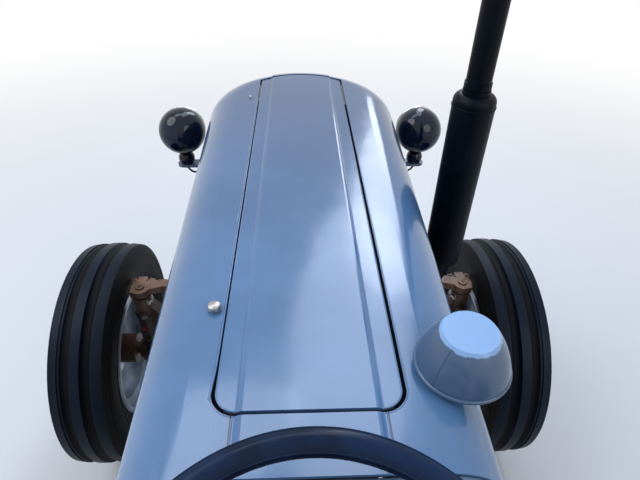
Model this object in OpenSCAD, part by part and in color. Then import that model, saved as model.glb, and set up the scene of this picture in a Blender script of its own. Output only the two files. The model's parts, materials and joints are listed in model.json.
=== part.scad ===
// Vintage tractor with open engine, front axle on a centre pin and a rear linkage.
// X points forward, Y to the left, Z up. The ground is Z 0. All sizes in millimetres.

/* [Overall] */
// distance from the front axle to the rear axle
wheelbase = 1829; // [1820:1:1860]
// distance between the middles of the front tyres
front_track = 1280; // [1250:1:1290]
// distance between the middles of the rear tyres
rear_track = 1220; // [1210:1:1260]
// from the front axle forward to the front of the nose
nose_reach = 407; // [400:1:414]

/* [Tyres] */
// outer diameter of a front tyre
front_tyre_d = 737; // [733:1:741]
// width of a front tyre
front_tyre_w = 171; // [166:1:174]
// half width of the middle rib of a front tyre
rib_half = 14; // [12:0.5:16]
// depth of the grooves of a front tyre
groove_h = 14; // [10:0.5:16]
// outer diameter of a rear tyre over its lugs
rear_tyre_d = 1240; // [1230:1:1246]
// width of a rear tyre
rear_tyre_w = 280; // [274:1:290]
// height of the rear lugs
lug_h = 30; // [26:1:32]
// pairs of lugs on a rear tyre
lug_pairs = 18; // [16:1:20]

/* [Wheels] */
// diameter of the front rim where the tyre sits
front_rim_d = 412; // [408:1:414]
// diameter of the rear rim where the tyre sits
rear_rim_d = 716; // [710:1:720]
// diameter of the bolt circle of a front wheel
front_pcd = 152; // [148:1:156]
// diameter of the bolt circle of a rear wheel
rear_pcd = 203; // [198:1:208]

/* [Hood] */
// width of the hood at its widest
hood_w = 514; // [508:1:518]
// angle by which each hood side closes in to the rear
hood_taper = 1.67; // [1.5:0.01:1.8]
// height of the rear top edge of the hood
hood_top = 1230; // [1224:1:1238]
// angle by which the top of the hood falls to the front
hood_fall = 0.68; // [0.5:0.01:0.9]
// from the front axle back to the rear edge of the hood
hood_back = 906; // [900:1:910]
// radius of the hood's top edge, round the nose and along the sides
shoulder_r = 80; // [76:1:84]
// sheet thickness of hood and fenders
sheet = 3; // [2.5:0.1:3.5]
// height of the lower edge of the hood side
hood_edge = 950; // [940:1:960]

/* [Hood panel] */
// width of the panel in the hood
panel_w = 228; // [222:1:232]
// from the rear edge of the hood forward to the panel
panel_start = 80; // [76:1:84]
// radius of the rear corners of the panel
panel_corner = 28; // [24:1:32]
// gap round the panel
panel_gap = 5; // [5:0.5:6]
// width of the raised middle
rise_w = 170; // [164:1:176]
// height of the raised middle
rise_h = 3; // [2.5:0.1:4]

/* [Steering] */
// outer diameter of the steering wheel
wheel_d = 412; // [404:1:420]
// thickness of the steering wheel rim
wheel_rim_d = 28; // [25:1:30]
// height of the middle of the steering wheel
wheel_z = 1252; // [1246:1:1260]
// from the front axle back to the middle of the steering wheel
wheel_back = 1095; // [1088:1:1102]
// backward lean of the steering column
column_lean = 18; // [17:0.5:19]
// from the middle of a front tyre in to its kingpin
kingpin_in = 123.5; // [122:0.5:125]
// length of a steering arm
arm_len = 140; // [136:1:144]
// length of a drop arm
drop_len = 205; // [200:1:208]

/* [Rear linkage] */
// length of a lower link from its pivot to its eye
link_len = 790; // [780:1:800]
// angle of a lower link below level as parked
link_drop = 13.4; // [13:0.1:13.8]
// radius of the bore in a lower link eye
link_bore_r = 11.2; // [11:0.1:11.4]
// from the lower link pivot to the lift rod
link_rod_at = 420; // [410:1:430]
// length of a lift arm
lift_len = 230; // [226:1:234]
// angle of the lift arms below level as parked
lift_drop = 25; // [24:0.5:26]
// radius of the top link bores
top_bore_r = 9.65; // [9.5:0.05:9.8]
// radius of the power take-off shaft
pto_r = 17.45; // [17.4:0.01:17.5]

/* [Clearances] */
// radial room of a pin in its bore
pin_gap = 0.08; // [0.06:0.01:0.1]
// gap between pieces that sit on each other
seat_gap = 0.3; // [0.2:0.05:0.4]

/* [Hidden] */
$fn = 64;
fzr = front_tyre_d / 2;
rzr = rear_tyre_d / 2;
kingpin_y = front_track / 2 - kingpin_in;
kingpin_r = 16;
beam_z = fzr + 111.5;
link_piv_dx = 20;
link_piv_z = 400;
link_eye_r = 23;
rear_reach = link_len * cos(link_drop) - link_piv_dx + link_eye_r;
front_reach = (hood_back + nose_reach - shoulder_r) * cos(hood_fall) - shoulder_r * sin(hood_fall)
              + shoulder_r + rise_h - hood_back;
fa = (wheelbase + rear_reach - front_reach) / 2;
ra = fa - wheelbase;
nose_x = hood_back + nose_reach - hood_w / 2;
rear_half = hood_w / 2 / cos(hood_taper) - nose_x * tan(hood_taper);
bell_back = fa - 1140;
bell_front = fa - 830;
cross_x = ra - 130;
cross_z = 850;
drop_x = fa - 1040;
drop_z = 880;
drag_z = drop_z - drop_len;
ex_x = fa - 130;
ex_y = -378;
ex_z = 800;
stack_x = fa - 769;
stack_y = -194;
lamp_x = fa + 262;
lamp_y = 366;
lamp_z = 1066;
lamp_r = 70;
crank_z = 545;
pump_z = 800;
belt_x = fa - 138;
support_top = 600;
grey = "#8f979c";
bronze = "#8a5a35";
black = "#141414";
silver = "#b4b7b8";
rubber = "#1c1c1c";

module box(x0, x1, y0, y1, z0, z1) {
  translate([x0, y0, z0]) cube([x1 - x0, y1 - y0, z1 - z0]);
}
module xcyl(x0, x1, y, z, r) {
  translate([x0, y, z]) rotate([0, 90, 0]) cylinder(h = x1 - x0, r = r);
}
module ycyl(y0, y1, x, z, r) {
  translate([x, y0, z]) rotate([-90, 0, 0]) cylinder(h = y1 - y0, r = r);
}
module zcyl(z0, z1, x, y, r) {
  translate([x, y, z0]) cylinder(h = z1 - z0, r = r);
}
module rod(p, q, r) {
  v = q - p;
  l = norm(v);
  translate(p) rotate([0, acos(v[2] / l), atan2(v[1], v[0])]) cylinder(h = l, r = r);
}
module side(s) {
  mirror([0, s < 0 ? 1 : 0, 0]) children();
}
module both() {
  children();
  mirror([0, 1, 0]) children();
}
// profile drawn in X and Z, pushed along Y
module along_y(y0, y1) {
  translate([0, y1, 0]) rotate([90, 0, 0]) linear_extrude(height = y1 - y0) children();
}
// profile drawn in Y and Z, pushed along X
module along_x(x0, x1) {
  translate([x0, 0, 0]) rotate([90, 0, 90]) linear_extrude(height = x1 - x0) children();
}
// profile drawn in radius and width, turned about Y; width runs along +Y
module turned_y(x, y, z) {
  translate([x, y, z]) rotate([-90, 0, 0]) rotate_extrude($fn = 96) children();
}
// pipe bend lying flat from +X to +Y about its centre
module bend(r, pipe_r, angle) {
  rotate_extrude(angle = angle) translate([r, 0]) circle(r = pipe_r);
}
// rectangle from low left to high right with round corners
module round_rect(x0, x1, y0, y1, r) {
  translate([x0 + r, y0]) square([x1 - x0 - 2 * r, y1 - y0]);
  translate([x0, y0 + r]) square([x1 - x0, y1 - y0 - 2 * r]);
  for (x = [x0 + r, x1 - r], y = [y0 + r, y1 - r]) translate([x, y]) circle(r = r);
}
// bolt heads on a circle about Y, facing +Y
module bolts_y(n, pcd, x, z, y0, y1, r) {
  for (i = [0 : n - 1]) {
    a = i * 360 / n;
    ycyl(y0, y1, x + pcd / 2 * cos(a), z + pcd / 2 * sin(a), r);
  }
}

// power unit

module crankcase_profile() {
  polygon([[-150, 418], [150, 418], [150, 434], [138, 440], [138, 610], [122, 640], [122, 806],
           [132, 812], [132, 832], [-132, 832], [-132, 812], [-122, 806], [-122, 640],
           [-138, 610], [-138, 440], [-150, 434]]);
}
module sump_profile() {
  polygon([[bell_front + 30, 420], [bell_front + 30, 368], [bell_front + 55, 346],
           [fa - 480, 346], [fa - 400, 384], [fa - 240, 384], [fa - 222, 400], [fa - 222, 420]]);
}
module rocker_profile() {
  round_rect(-70, 70, 880, 985, 26);
}

// grooved pulley in the plane of the fan belt
module pulley(y, z, r) {
  xcyl(belt_x - 11, belt_x - 4, y, z, r);
  xcyl(belt_x - 5, belt_x + 5, y, z, r - 10);
  xcyl(belt_x + 4, belt_x + 11, y, z, r);
}

module engine() {
  front = fa - 190;
  plug_x = [fa - 715, fa - 595, fa - 430, fa - 310];
  color(bronze) {
    along_x(bell_front, front) crankcase_profile();
    along_x(bell_front + 24, front - 30) translate([-112, 830]) square([224, 92]);
    along_x(bell_front + 50, front - 90) rocker_profile();
    along_y(-104, 104) sump_profile();
    // ribs of the block
    for (x = [fa - 745, fa - 640, fa - 535, fa - 430, fa - 325]) {
      both() box(x, x + 12, 120, 134, 650, 762);
    }
    // timing cover and crank pulley
    along_x(front - 5, front + 40) {
      translate([0, crank_z]) circle(r = 92);
      translate([-70, crank_z]) square([140, 190]);
    }
    xcyl(front + 35, belt_x + 16, 0, crank_z, 30);
    pulley(0, crank_z, 68);
    // water pump with its shaft and outlet
    along_x(front - 5, front + 26) translate([0, pump_z]) circle(r = 50);
    xcyl(front, front + 40, 0, pump_z, 14);
    zcyl(900, 930, fa - 248, 40, 24);
    // dynamo on the left
    xcyl(fa - 430, fa - 215, 205, 640, 52);
    xcyl(fa - 438, fa - 412, 205, 640, 56);
    xcyl(fa - 240, fa - 212, 205, 640, 56);
    xcyl(fa - 213, belt_x + 15, 205, 640, 12);
    pulley(205, 640, 34);
    box(fa - 395, fa - 365, 118, 190, 618, 640);
    box(fa - 270, fa - 240, 118, 190, 618, 640);
    // oil filter on the left
    zcyl(500, 640, fa - 545, 196, 42);
    zcyl(636, 652, fa - 545, 196, 48);
    translate([fa - 545, 196, 500]) sphere(r = 41.5);
    box(fa - 570, fa - 520, 120, 180, 626, 648);
    // distributor on the left, with the towers of its cap
    zcyl(640, 770, fa - 640, 160, 22);
    zcyl(760, 812, fa - 640, 160, 36);
    for (a = [0 : 90 : 270]) {
      zcyl(806, 834, fa - 640 + 22 * cos(a), 160 + 22 * sin(a), 7);
    }
    zcyl(806, 838, fa - 640, 160, 7);
    // starter on the right
    xcyl(fa - 829, fa - 650, -192, 540, 45);
    xcyl(fa - 655, fa - 640, -192, 540, 38);
    xcyl(fa - 800, fa - 700, -192, 606, 24);
    box(fa - 829, fa - 800, -190, -135, 500, 580);
    // spark plugs on the left of the head
    for (x = plug_x) {
      rod([x, 100, 880], [x, 150, 905], 10);
      rod([x, 145, 902.5], [x, 162, 911], 6);
    }
    // oil filler and dipstick
    zcyl(980, 1010, fa - 700, 0, 22);
    zcyl(430, 700, fa - 760, 148, 5);
  }
}

module manifold() {
  port_x = [fa - 670, fa - 520, fa - 370];
  color("#4a4240") {
    xcyl(fa - 690, fa - 290, -178, ex_z, 29);
    translate([fa - 690, -178, ex_z]) sphere(r = 28.9);
    for (x = port_x) {
      box(x, x + 50, -178, -130, ex_z - 22, ex_z + 4);
      box(x - 10, x + 60, -134, -122 - seat_gap, ex_z - 30, ex_z + 5);
    }
    // carburettor hung under the manifold
    zcyl(ex_z - 60, ex_z, fa - 470, -182, 24);
    box(fa - 502, fa - 438, -214, -150, ex_z - 66, ex_z - 56);
    zcyl(ex_z - 150, ex_z - 60, fa - 470, -182, 30);
    zcyl(ex_z - 176, ex_z - 100, fa - 424, -182, 24);
    xcyl(fa - 560, fa - 470, -182, ex_z - 110, 22);
  }
}

module exhaust() {
  bend_r = 50;
  pipe_r = 27.5;
  muffler_r = 47.5;
  cap_h = 18;
  pipe_top = 1880;
  color(black) difference() {
    exhaust_outside(bend_r, pipe_r, muffler_r, cap_h, pipe_top);
    zcyl(pipe_top - 70, pipe_top + 1, ex_x, ex_y, pipe_r - 2.5);
  }
}

module exhaust_outside(bend_r, pipe_r, muffler_r, cap_h, pipe_top) {
  translate([0, 0, ex_z]) {
    xcyl(fa - 290, ex_x - bend_r, -178, 0, pipe_r);
    translate([ex_x - bend_r, -178 - bend_r, 0]) bend(bend_r, pipe_r, 90);
    ycyl(ex_y + bend_r, -178 - bend_r, ex_x, 0, pipe_r);
  }
  translate([ex_x, ex_y + bend_r, ex_z + bend_r]) rotate([0, 90, 0])
    rotate([0, 0, -90]) bend(bend_r, pipe_r, 90);
  zcyl(ex_z + bend_r, pipe_top, ex_x, ex_y, pipe_r);
  // muffler with rounded ends and its seam
  translate([ex_x, ex_y, 0]) rotate_extrude() {
    translate([0, 868]) square([muffler_r - cap_h, 472]);
    translate([0, 868 + cap_h]) square([muffler_r, 472 - 2 * cap_h]);
    translate([muffler_r - cap_h, 868 + cap_h]) circle(r = cap_h);
    translate([muffler_r - cap_h, 1340 - cap_h]) circle(r = cap_h);
    translate([20, 1310]) square([muffler_r - 20 + 0.8, 4]);
  }
  zcyl(1336, 1350, ex_x, ex_y, pipe_r + 3);
}

module air_cleaner() {
  color(grey) {
    zcyl(690, 930, stack_x, stack_y, 49);
    zcyl(640, 692, stack_x, stack_y, 43);
    zcyl(680, 688, stack_x, stack_y, 53);
    box(stack_x - 20, stack_x + 20, stack_y, -122 - seat_gap, 700, 740);
    zcyl(925, hood_top + 8, stack_x, stack_y, 26);
    // hose to the carburettor
    rod([stack_x + 30, stack_y + 12, 690], [fa - 563, -182, 690], 20);
  }
}

module precleaner() {
  base = hood_top + 4;
  cap_r = 61.5;
  side_r = 140;
  side_low = 34.8;
  side_in = 4.4;
  color(grey) difference() {
    union() {
      translate([stack_x, stack_y, base]) rotate_extrude() {
        translate([0, 2]) square([cap_r - 3, 6]);
        translate([cap_r - 3, 5]) circle(r = 3);
      }
      // slightly domed side up to the flat top
      translate([stack_x, stack_y, base]) rotate_extrude() intersection() {
        translate([59 - side_r + side_in, 12 - side_low]) circle(r = side_r);
        translate([0, 7]) square([59, 56]);
      }
    }
    translate([stack_x, stack_y, base - 1]) cylinder(h = 10, r = 26.3);
    translate([stack_x, stack_y, base - 1]) difference() {
      cylinder(h = 30, r1 = 56, r2 = 43);
      cylinder(h = 30, r = 34);
    }
  }
}

module fan() {
  blades = 4;
  color(silver) {
    xcyl(fa - 149.7, fa - 117, 0, pump_z, 20);
    pulley(0, pump_z, 44);
    for (i = [0 : blades - 1]) {
      translate([fa - 124, 0, pump_z]) rotate([i * 360 / blades + 20, 0, 0]) translate([0, 0, 80]) rotate([0, 0, 25])
        rotate([90, 0, 90]) linear_extrude(height = 4, center = true)
          polygon([[-14, -70], [14, -70], [34, 0], [30, 62], [-30, 62], [-34, 0]]);
    }
  }
}

module radiator() {
  front = fa - 28;
  back = fa - 92;
  color(black) {
    box(back, front, -200, 200, support_top + 45, 1092);
    box(back - 3, front + 3, -208, 208, support_top, support_top + 50);
    both() box(back - 3, front + 3, 196, 208, support_top + 40, 1100);
    // header tank with a rounded top, and its neck
    along_y(-208, 208) {
      translate([back - 8, 1088]) square([front - back + 16, 46]);
      translate([back + 14, 1130]) square([front - back - 28, 22]);
      translate([back + 14, 1130]) circle(r = 22);
      translate([front - 14, 1130]) circle(r = 22);
    }
    zcyl(1149, 1176, fa - 60, 0, 30);
    zcyl(1176, 1182, fa - 60, 0, 38);
    zcyl(1182, 1190, fa - 60, 0, 26);
    // top hose
    zcyl(930 + seat_gap, 953, fa - 248, 40, 22);
    translate([fa - 248, 40, 953]) sphere(r = 22);
    rod([fa - 248, 40, 953], [fa - 95, 40, 1108], 21);
  }
}

module fuel_tank() {
  back = fa - 730;
  front = fa - 250;
  color(grey) {
    along_x(back, front) round_rect(-184, 184, 1032, 1165, 34);
    along_x(back - 0.01, back + 6) round_rect(-187, 187, 1029, 1168, 37);
    along_x(front - 6, front + 0.01) round_rect(-187, 187, 1029, 1168, 37);
    zcyl(1164, 1178, fa - 420, 0, 34);
    zcyl(1178, 1192, fa - 420, 0, 42);
    for (x = [fa - 700, fa - 320]) {
      box(x, x + 24, -150, 150, 1022, 1034);
      both() box(x, x + 24, 84, 104, 922.5, 1030);
    }
  }
}

// chassis

// underside of the nose, open to the rear
module nose_foot(r) {
  translate([fa - hood_back + nose_x, 0]) circle(r = r, $fn = 96);
  translate([fa + 70, -r]) square([nose_x - hood_back - 70, 2 * r]);
}

module front_support() {
  rim_r = hood_w / 2 - 2.5;
  color(bronze) difference() {
    union() {
      both() box(fa - 190, fa - 100, 93, 140, 430, support_top);
      box(fa - 105, fa + 240, -140, 140, 550, support_top);
      zcyl(550, support_top, fa + 240, 0, 140);
      box(fa - 76, fa - 46, -45, 45, beam_z - 44, 555);
      box(fa + 46, fa + 76, -45, 45, beam_z - 44, 555);
      xcyl(fa - 76, fa - 46, 0, beam_z, 42);
      xcyl(fa + 46, fa + 76, 0, beam_z, 42);
      xcyl(fa - 82, fa + 82, 0, beam_z, 18);
      // cross arms and the rim that carries the nose
      box(fa + 70, fa + 105, -rim_r + 20, rim_r - 20, 588, support_top);
      box(fa + 262, fa + 292, -rim_r + 40, rim_r - 40, 588, support_top);
      both() box(fa + 60, fa + 120, 130, 200, 560, 592);
      translate([0, 0, 588]) linear_extrude(height = support_top - 588) difference() {
        nose_foot(rim_r);
        nose_foot(rim_r - 45);
      }
    }
    both() support_slot();
  }
}
// lightening hole through each half of the front support
module support_slot() {
  translate([0, 0, 540]) linear_extrude(height = 70) round_rect(fa + 115, fa + 250, 25, 110, 20);
}

module front_axle() {
  inner = kingpin_y - 205;
  color(bronze) difference() {
    union() {
      // middle beam with its pivot
      box(fa - 30, fa + 30, -inner - 40, inner + 40, beam_z - 40, beam_z + 40);
      xcyl(fa - 45.7, fa + 45.7, 0, beam_z, 46);
      // outer arms, bolted to the middle
      both() box(fa - 38, fa + 38, inner - 60, kingpin_y - 68, beam_z - 34, beam_z + 34);
      both() outer_arm();
      both() zcyl(beam_z - 54, beam_z + 145, fa, kingpin_y, 31);
      both() zcyl(beam_z + 60, beam_z + 72, fa, kingpin_y, 34);
    }
    xcyl(fa - 90, fa + 90, 0, beam_z, 18 + pin_gap);
    both() zcyl(beam_z - 60, beam_z + 150, fa, kingpin_y, kingpin_r + pin_gap);
    // channels that lighten the middle beam
    both() box(fa + 20, fa + 31, 60, inner - 70, beam_z - 24, beam_z + 24);
    both() box(fa - 31, fa - 20, 60, inner - 70, beam_z - 24, beam_z + 24);
  }
  color(bronze) both() for (y = [inner - 45, inner - 5, inner + 60]) {
    xcyl(fa + 37.5, fa + 46, y, beam_z, 14);
  }
}
// web that lifts an outer arm to its kingpin boss
module outer_arm() {
  along_x(fa - 22, fa + 22) polygon([[kingpin_y - 110, beam_z - 30], [kingpin_y - 12, beam_z - 40],
    [kingpin_y - 12, beam_z + 120], [kingpin_y - 34, beam_z + 100], [kingpin_y - 80, beam_z + 32],
    [kingpin_y - 110, beam_z + 30]]);
}

module radius_rod(s) {
  y0 = kingpin_y - 175;
  color(bronze) side(s) {
    box(fa - 66, fa - 38, y0 - 20, y0 + 20, beam_z - 25, beam_z + 25);
    rod([fa - 60, y0, beam_z], [fa - 880, 207, 462], 17);
    box(fa - 915, fa - 860, 185.3, 216, 440, 484);
    ycyl(215, 226, fa - 888, 462, 14);
  }
}

module bell_profile() {
  polygon([[-185, 440], [-140, 400], [140, 400], [185, 440],
           [185, 720], [120, 790], [-120, 790], [-185, 720]]);
}
module case_profile() {
  polygon([[-130, 420], [-100, 390], [100, 390], [130, 420],
           [130, 700], [90, 760], [-90, 760], [-130, 700]]);
}

module gearbox() {
  color(bronze) {
    along_x(bell_back, bell_front - seat_gap) bell_profile();
    along_x(bell_back - 14, bell_back + 10) round_rect(-160, 160, 392, 772, 40);
    along_x(ra + 350, bell_back + 5) case_profile();
    // side covers with their bolts
    both() {
      ycyl(128, 142, fa - 1290, 560, 74);
      bolts_y(6, 120, fa - 1290, 560, 140, 147, 8);
      box(fa - 1250, fa - 1180, 120, 139, 430, 470);
    }
    // gear lever tower, lever and knob
    box(fa - 1400, fa - 1210, -85, 85, 755, 772);
    translate([fa - 1300, 0, 770]) cylinder(h = 34, r1 = 52, r2 = 30);
    rod([fa - 1300, 0, 800], [fa - 1275, 0, 1000], 8);
    translate([fa - 1275, 0, 1000]) sphere(r = 20);
  }
}

module axle_profile() {
  polygon([[-175, rzr - 150], [-130, rzr - 190], [130, rzr - 190], [175, rzr - 150],
           [175, 750], [140, 795], [-140, 795], [-175, 750]]);
}

module rear_axle() {
  drum = rear_track / 2 - 105;
  color(bronze) difference() {
    union() {
      along_x(ra - 210, ra + 350) axle_profile();
      along_x(ra + 330, ra + 350) round_rect(-172, 172, rzr - 190, 795, 36);
      // trumpets with flanges and ribs
      both() {
        translate([ra, 170, rzr]) rotate([-90, 0, 0]) cylinder(h = 270, r1 = 128, r2 = 80);
        ycyl(173, 190, ra, rzr, 152);
        bolts_y(10, 280, ra, rzr, 188, 197, 9);
        along_y(430, drum) translate([ra, rzr]) circle(r = 150);
        ycyl(drum - 30, drum - 20, ra, rzr, 158);
        ycyl(436, 446, ra, rzr, 158);
        ycyl(430, rear_track / 2 - 35, ra, rzr, 35);
        box(ra - 45, ra + 45, 360, 435.7, rzr + 40, rzr + 230);
      }
      // ears of the top link
      both() {
        box(ra - 252, ra - 205, 24, 36, 700, 770);
        ycyl(24, 36, ra - 252, 735, 30);
      }
      // boss of the power take-off with its cap ring
      xcyl(ra - 250, ra - 200, 0, 520, 44);
      xcyl(ra - 218, ra - 205, 0, 520, 62);
      // lower link pivots
      both() ycyl(174, 216, ra + link_piv_dx, link_piv_z, 16);
      both() box(ra + link_piv_dx - 30, ra + link_piv_dx + 30, 120, 176, 370, rzr - 140);
      // drawbar carrier
      box(ra - 235, ra - 60, -38, 38, 372, 436);
    }
    both() ycyl(20, 40, ra - 252, 735, top_bore_r);
    xcyl(ra - 260, ra - 150, 0, 520, pto_r + 2 + pin_gap);
  }
}

module lift_cover() {
  color(bronze) difference() {
    union() {
      along_x(ra - 205, ra + 300) polygon([[-140, 795.2], [140, 795.2], [140, 816], [112, 850],
                                           [-112, 850], [-140, 816]]);
      ycyl(-180, 180, cross_x, cross_z, 48);
      box(ra - 180, ra - 80, -175, 175, 800, cross_z);
      // quadrant of the lift with its lever, on the right
      ycyl(-158, -138, ra + 190, 815, 62);
      rod([ra + 190, -152, 820], [ra + 250, -152, 985], 6);
      translate([ra + 250, -152, 985]) sphere(r = 15);
    }
    ycyl(-190, 190, cross_x, cross_z, 28 + pin_gap);
    box(ra + 100, ra + 280, -170, -130, 700, 795.2);
  }
}

module pto_shaft() {
  color(silver) {
    xcyl(ra - 335, ra - 250, 0, 520, pto_r);
    xcyl(ra - 255, ra - 155, 0, 520, pto_r + 2);
  }
}

// hood

// half section of the hood from its middle out to its side; d is the inset
module half_section(d, low) {
  half = hood_w / 2 - d;
  r = shoulder_r - d;
  translate([0, low]) square([half - r, -d - low]);
  translate([0, low]) square([half, -d - r - low]);
  translate([half - r, -d - r]) circle(r = r);
}

module hood_frame() {
  translate([fa - hood_back, 0, hood_top]) rotate([0, hood_fall, 0]) children();
}

// round nose and the two sides that close in behind it; d is the inset
module hood_solid(d, low, back) {
  hood_frame() translate([nose_x, 0, 0]) {
    rotate([0, 0, -90 - hood_taper]) rotate_extrude(angle = 180 + 2 * hood_taper) intersection() {
      half_section(d, low);
      translate([0, low]) square([hood_w, -low + 2 * rise_h]);
    }
    both() rotate([0, 0, hood_taper]) rotate([90, 0, -90])
      linear_extrude(height = nose_x + back) mirror([1, 0, 0]) half_section(d, low);
  }
}

// panel seen from above; grow widens it to the opening
module panel_plan(grow) {
  half = panel_w / 2;
  translate([panel_start + panel_corner, -half - grow])
    square([nose_x - panel_start - panel_corner, panel_w + 2 * grow]);
  translate([panel_start - grow, panel_corner - half])
    square([nose_x - panel_start, panel_w - 2 * panel_corner]);
  for (y = [panel_corner - half, half - panel_corner]) {
    translate([panel_start + panel_corner, y]) circle(r = panel_corner + grow);
  }
  // front edge on one centre with the nose
  intersection() {
    translate([nose_x, 0]) circle(r = panel_front_r + grow * 1.6);
    translate([nose_x - 20, -half - grow]) square([hood_w, panel_w + 2 * grow]);
  }
}

panel_front_r = hood_w / 2 - shoulder_r - panel_gap;
// raised middle of the hood, with edges that fall in a soft step
module rise_profile() {
  half = rise_w / 2;
  polygon([[-half - 3, -sheet], [half + 3, -sheet], [half + 3, 0], [half + 1, 0.5],
           [half - 3, rise_h - 0.5], [half - 6, rise_h], [6 - half, rise_h],
           [3 - half, rise_h - 0.5], [-half - 1, 0.5], [-half - 3, 0]]);
}

hinge_x = nose_x + sqrt(pow(panel_front_r, 2) - pow(panel_w / 2, 2)) - 12;
hinge_z = -16;
hinge_pin_r = 4;

module ledge_profile() {
  y = panel_w / 2;
  polygon([[y - 12, -2 * sheet - seat_gap], [y + 16, -2 * sheet - seat_gap], [y + 16, -sheet + 0.5],
           [y + 7, -sheet + 0.5], [y + 7, -sheet - seat_gap], [y - 12, -sheet - seat_gap]]);
}

module hood() {
  grille_half = 150;
  color(grey) difference() {
    union() {
      difference() {
        hood_solid(0, -700, 20);
        hood_solid(sheet, -720, 60);
      }
      // raised strip behind the panel and over the nose
      hood_frame() along_x(0, panel_start) rise_profile();
      intersection() {
        difference() {
          hood_solid(-rise_h, -700, 20);
          hood_solid(sheet, -720, 60);
        }
        hood_frame() box(nose_x + 150, nose_x + hood_w, -rise_w / 2, rise_w / 2, -200, 20);
      }
      // ledges that the panel rests on, and its hinge pin
      hood_frame() {
        both() along_x(panel_start - 4, hinge_x - 14) ledge_profile();
        both() box(hinge_x - 8, hinge_x + 8, panel_w / 2 + 8, panel_w / 2 + 14, hinge_z - 8, -1);
        ycyl(-panel_w / 2 - 12, panel_w / 2 + 12, hinge_x, hinge_z, hinge_pin_r);
      }
    }
    // panel opening
    hood_frame() translate([0, 0, -sheet - 1]) linear_extrude(height = 20) panel_plan(panel_gap);
    // hole for the air stack
    zcyl(hood_top - 60, hood_top + 20, stack_x, stack_y, 32);
    // rear end, lower edge of the side and underside of the nose
    along_y(-hood_w, hood_w) polygon([[fa - hood_back - 100, 300], [fa + 600, 300],
      [fa + 600, support_top + seat_gap], [fa + 60, support_top + seat_gap], [fa + 60, hood_edge],
      [fa - hood_back, hood_edge], [fa - hood_back, 1400], [fa - hood_back - 100, 1400]]);
    // grille opening
    box(fa + 200, fa + 600, -grille_half, grille_half, 655, 1080);
  }
}

module hood_panel() {
  knuckle_y = 56;
  color(grey) hood_frame() {
    translate([0, 0, -sheet]) linear_extrude(height = sheet) panel_plan(0);
    intersection() {
      along_x(panel_start, nose_x + hood_w) rise_profile();
      translate([0, 0, -sheet]) linear_extrude(height = 20) panel_plan(0);
    }
    difference() {
      both() {
        ycyl(knuckle_y, knuckle_y + 8, hinge_x, hinge_z, 9);
        box(hinge_x - 9, hinge_x + 9, knuckle_y, knuckle_y + 8, hinge_z, -1);
      }
      ycyl(-80, 80, hinge_x, hinge_z, hinge_pin_r + pin_gap);
    }
  }
}

module grille() {
  bars = 13;
  span = 68;
  r = hood_w / 2 - 22;
  color(silver) translate([fa - hood_back + nose_x - 8, 0, 0]) {
    // bars on one curve with the nose
    for (i = [0 : bars - 1]) {
      rotate([0, 0, -span / 2 + 3 + i * (span - 6) / (bars - 1)]) box(r - 8, r, -3.5, 3.5, 655, 1080);
    }
    for (z = [[support_top + seat_gap, 668], [1066, 1092], [862, 872]]) {
      translate([0, 0, z[0]]) rotate([0, 0, -span / 2]) rotate_extrude(angle = span)
        translate([r - 12, 0]) square([10, z[1] - z[0]]);
    }
    both() rotate([0, 0, span / 2 - 1]) box(r - 12, r - 2, -6, 6, 640, 1090);
  }
}

module dash_panel() {
  half = rear_half - sheet;
  corner = shoulder_r - sheet - 2;
  depth = 260;
  color(grey) {
    hood_frame() along_x(-8, 0) {
      translate([-half, -depth]) square([2 * half, depth - shoulder_r]);
      translate([corner - half, -depth]) square([2 * (half - corner), depth - shoulder_r + corner]);
      for (y = [corner - half, half - corner]) translate([y, -shoulder_r]) circle(r = corner);
    }
    translate([fa - hood_back - 11, 0, 0]) along_x(0, 8) polygon([[-150, 975], [-100, 790],
                                                                  [100, 790], [150, 975]]);
  }
}

// lamps

module headlamp(s) {
  bowl_r = 56;
  front = 36;
  color(black) side(s) {
    translate([lamp_x, lamp_y, lamp_z]) rotate([0, 90, 0]) difference() {
      union() {
        intersection() {
          sphere(r = lamp_r, $fn = 96);
          translate([0, 0, -76]) cube([200, 200, 200], center = true);
        }
        translate([0, 0, 20]) cylinder(h = front - 20, r = 63);
      }
      // open bowl for the reflector
      translate([0, 0, front + 16]) sphere(r = bowl_r, $fn = 96);
    }
    // round neck on the bracket, its stud and nut
    difference() {
      translate([lamp_x, lamp_y, plate_z + 22]) sphere(r = 25);
      zcyl(plate_z - 60, plate_z + 4, lamp_x, lamp_y, 40);
    }
    zcyl(plate_z - 4, plate_z + 30, lamp_x, lamp_y, 9);
    zcyl(plate_z - 9, plate_z + 2, lamp_x, lamp_y, 13);
    lamp_bracket();
  }
}
// flat bracket from the side of the hood out to the lamp
plate_z = 952;
module lamp_bracket() {
  foot_r = hood_w / 2 + seat_gap;
  nose_at = fa - hood_back + nose_x;
  across = 40;
  translate([0, 0, plate_z - 4]) linear_extrude(height = 8) difference() {
    union() {
      translate([lamp_x - across / 2, 200]) square([across, lamp_y - 200]);
      translate([lamp_x - across / 2, lamp_y - 1]) square([across, 12]);
      translate([lamp_x, lamp_y + 10]) circle(r = across / 2);
    }
    translate([nose_at, 0]) circle(r = foot_r + 1);
  }
  // curved foot on the nose
  hood_frame() translate([nose_x, 0, -284]) rotate([0, 0, 59.5]) rotate_extrude(angle = 9.5)
    translate([foot_r, 0]) square([5, 44]);
}

module lamp_lead(s) {
  loop_r = 22;
  stud_low = plate_z - 9 - seat_gap;
  color(black) side(s) {
    translate([lamp_x, lamp_y - loop_r, stud_low]) rotate([0, 0, 90]) rotate([90, 0, 0]) rotate([0, 0, 180])
      bend(loop_r, 3, 180);
    zcyl(stud_low, plate_z - 4 - seat_gap, lamp_x, lamp_y - 2 * loop_r, 3);
  }
}

// seat, fenders, footrests, pedals

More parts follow.
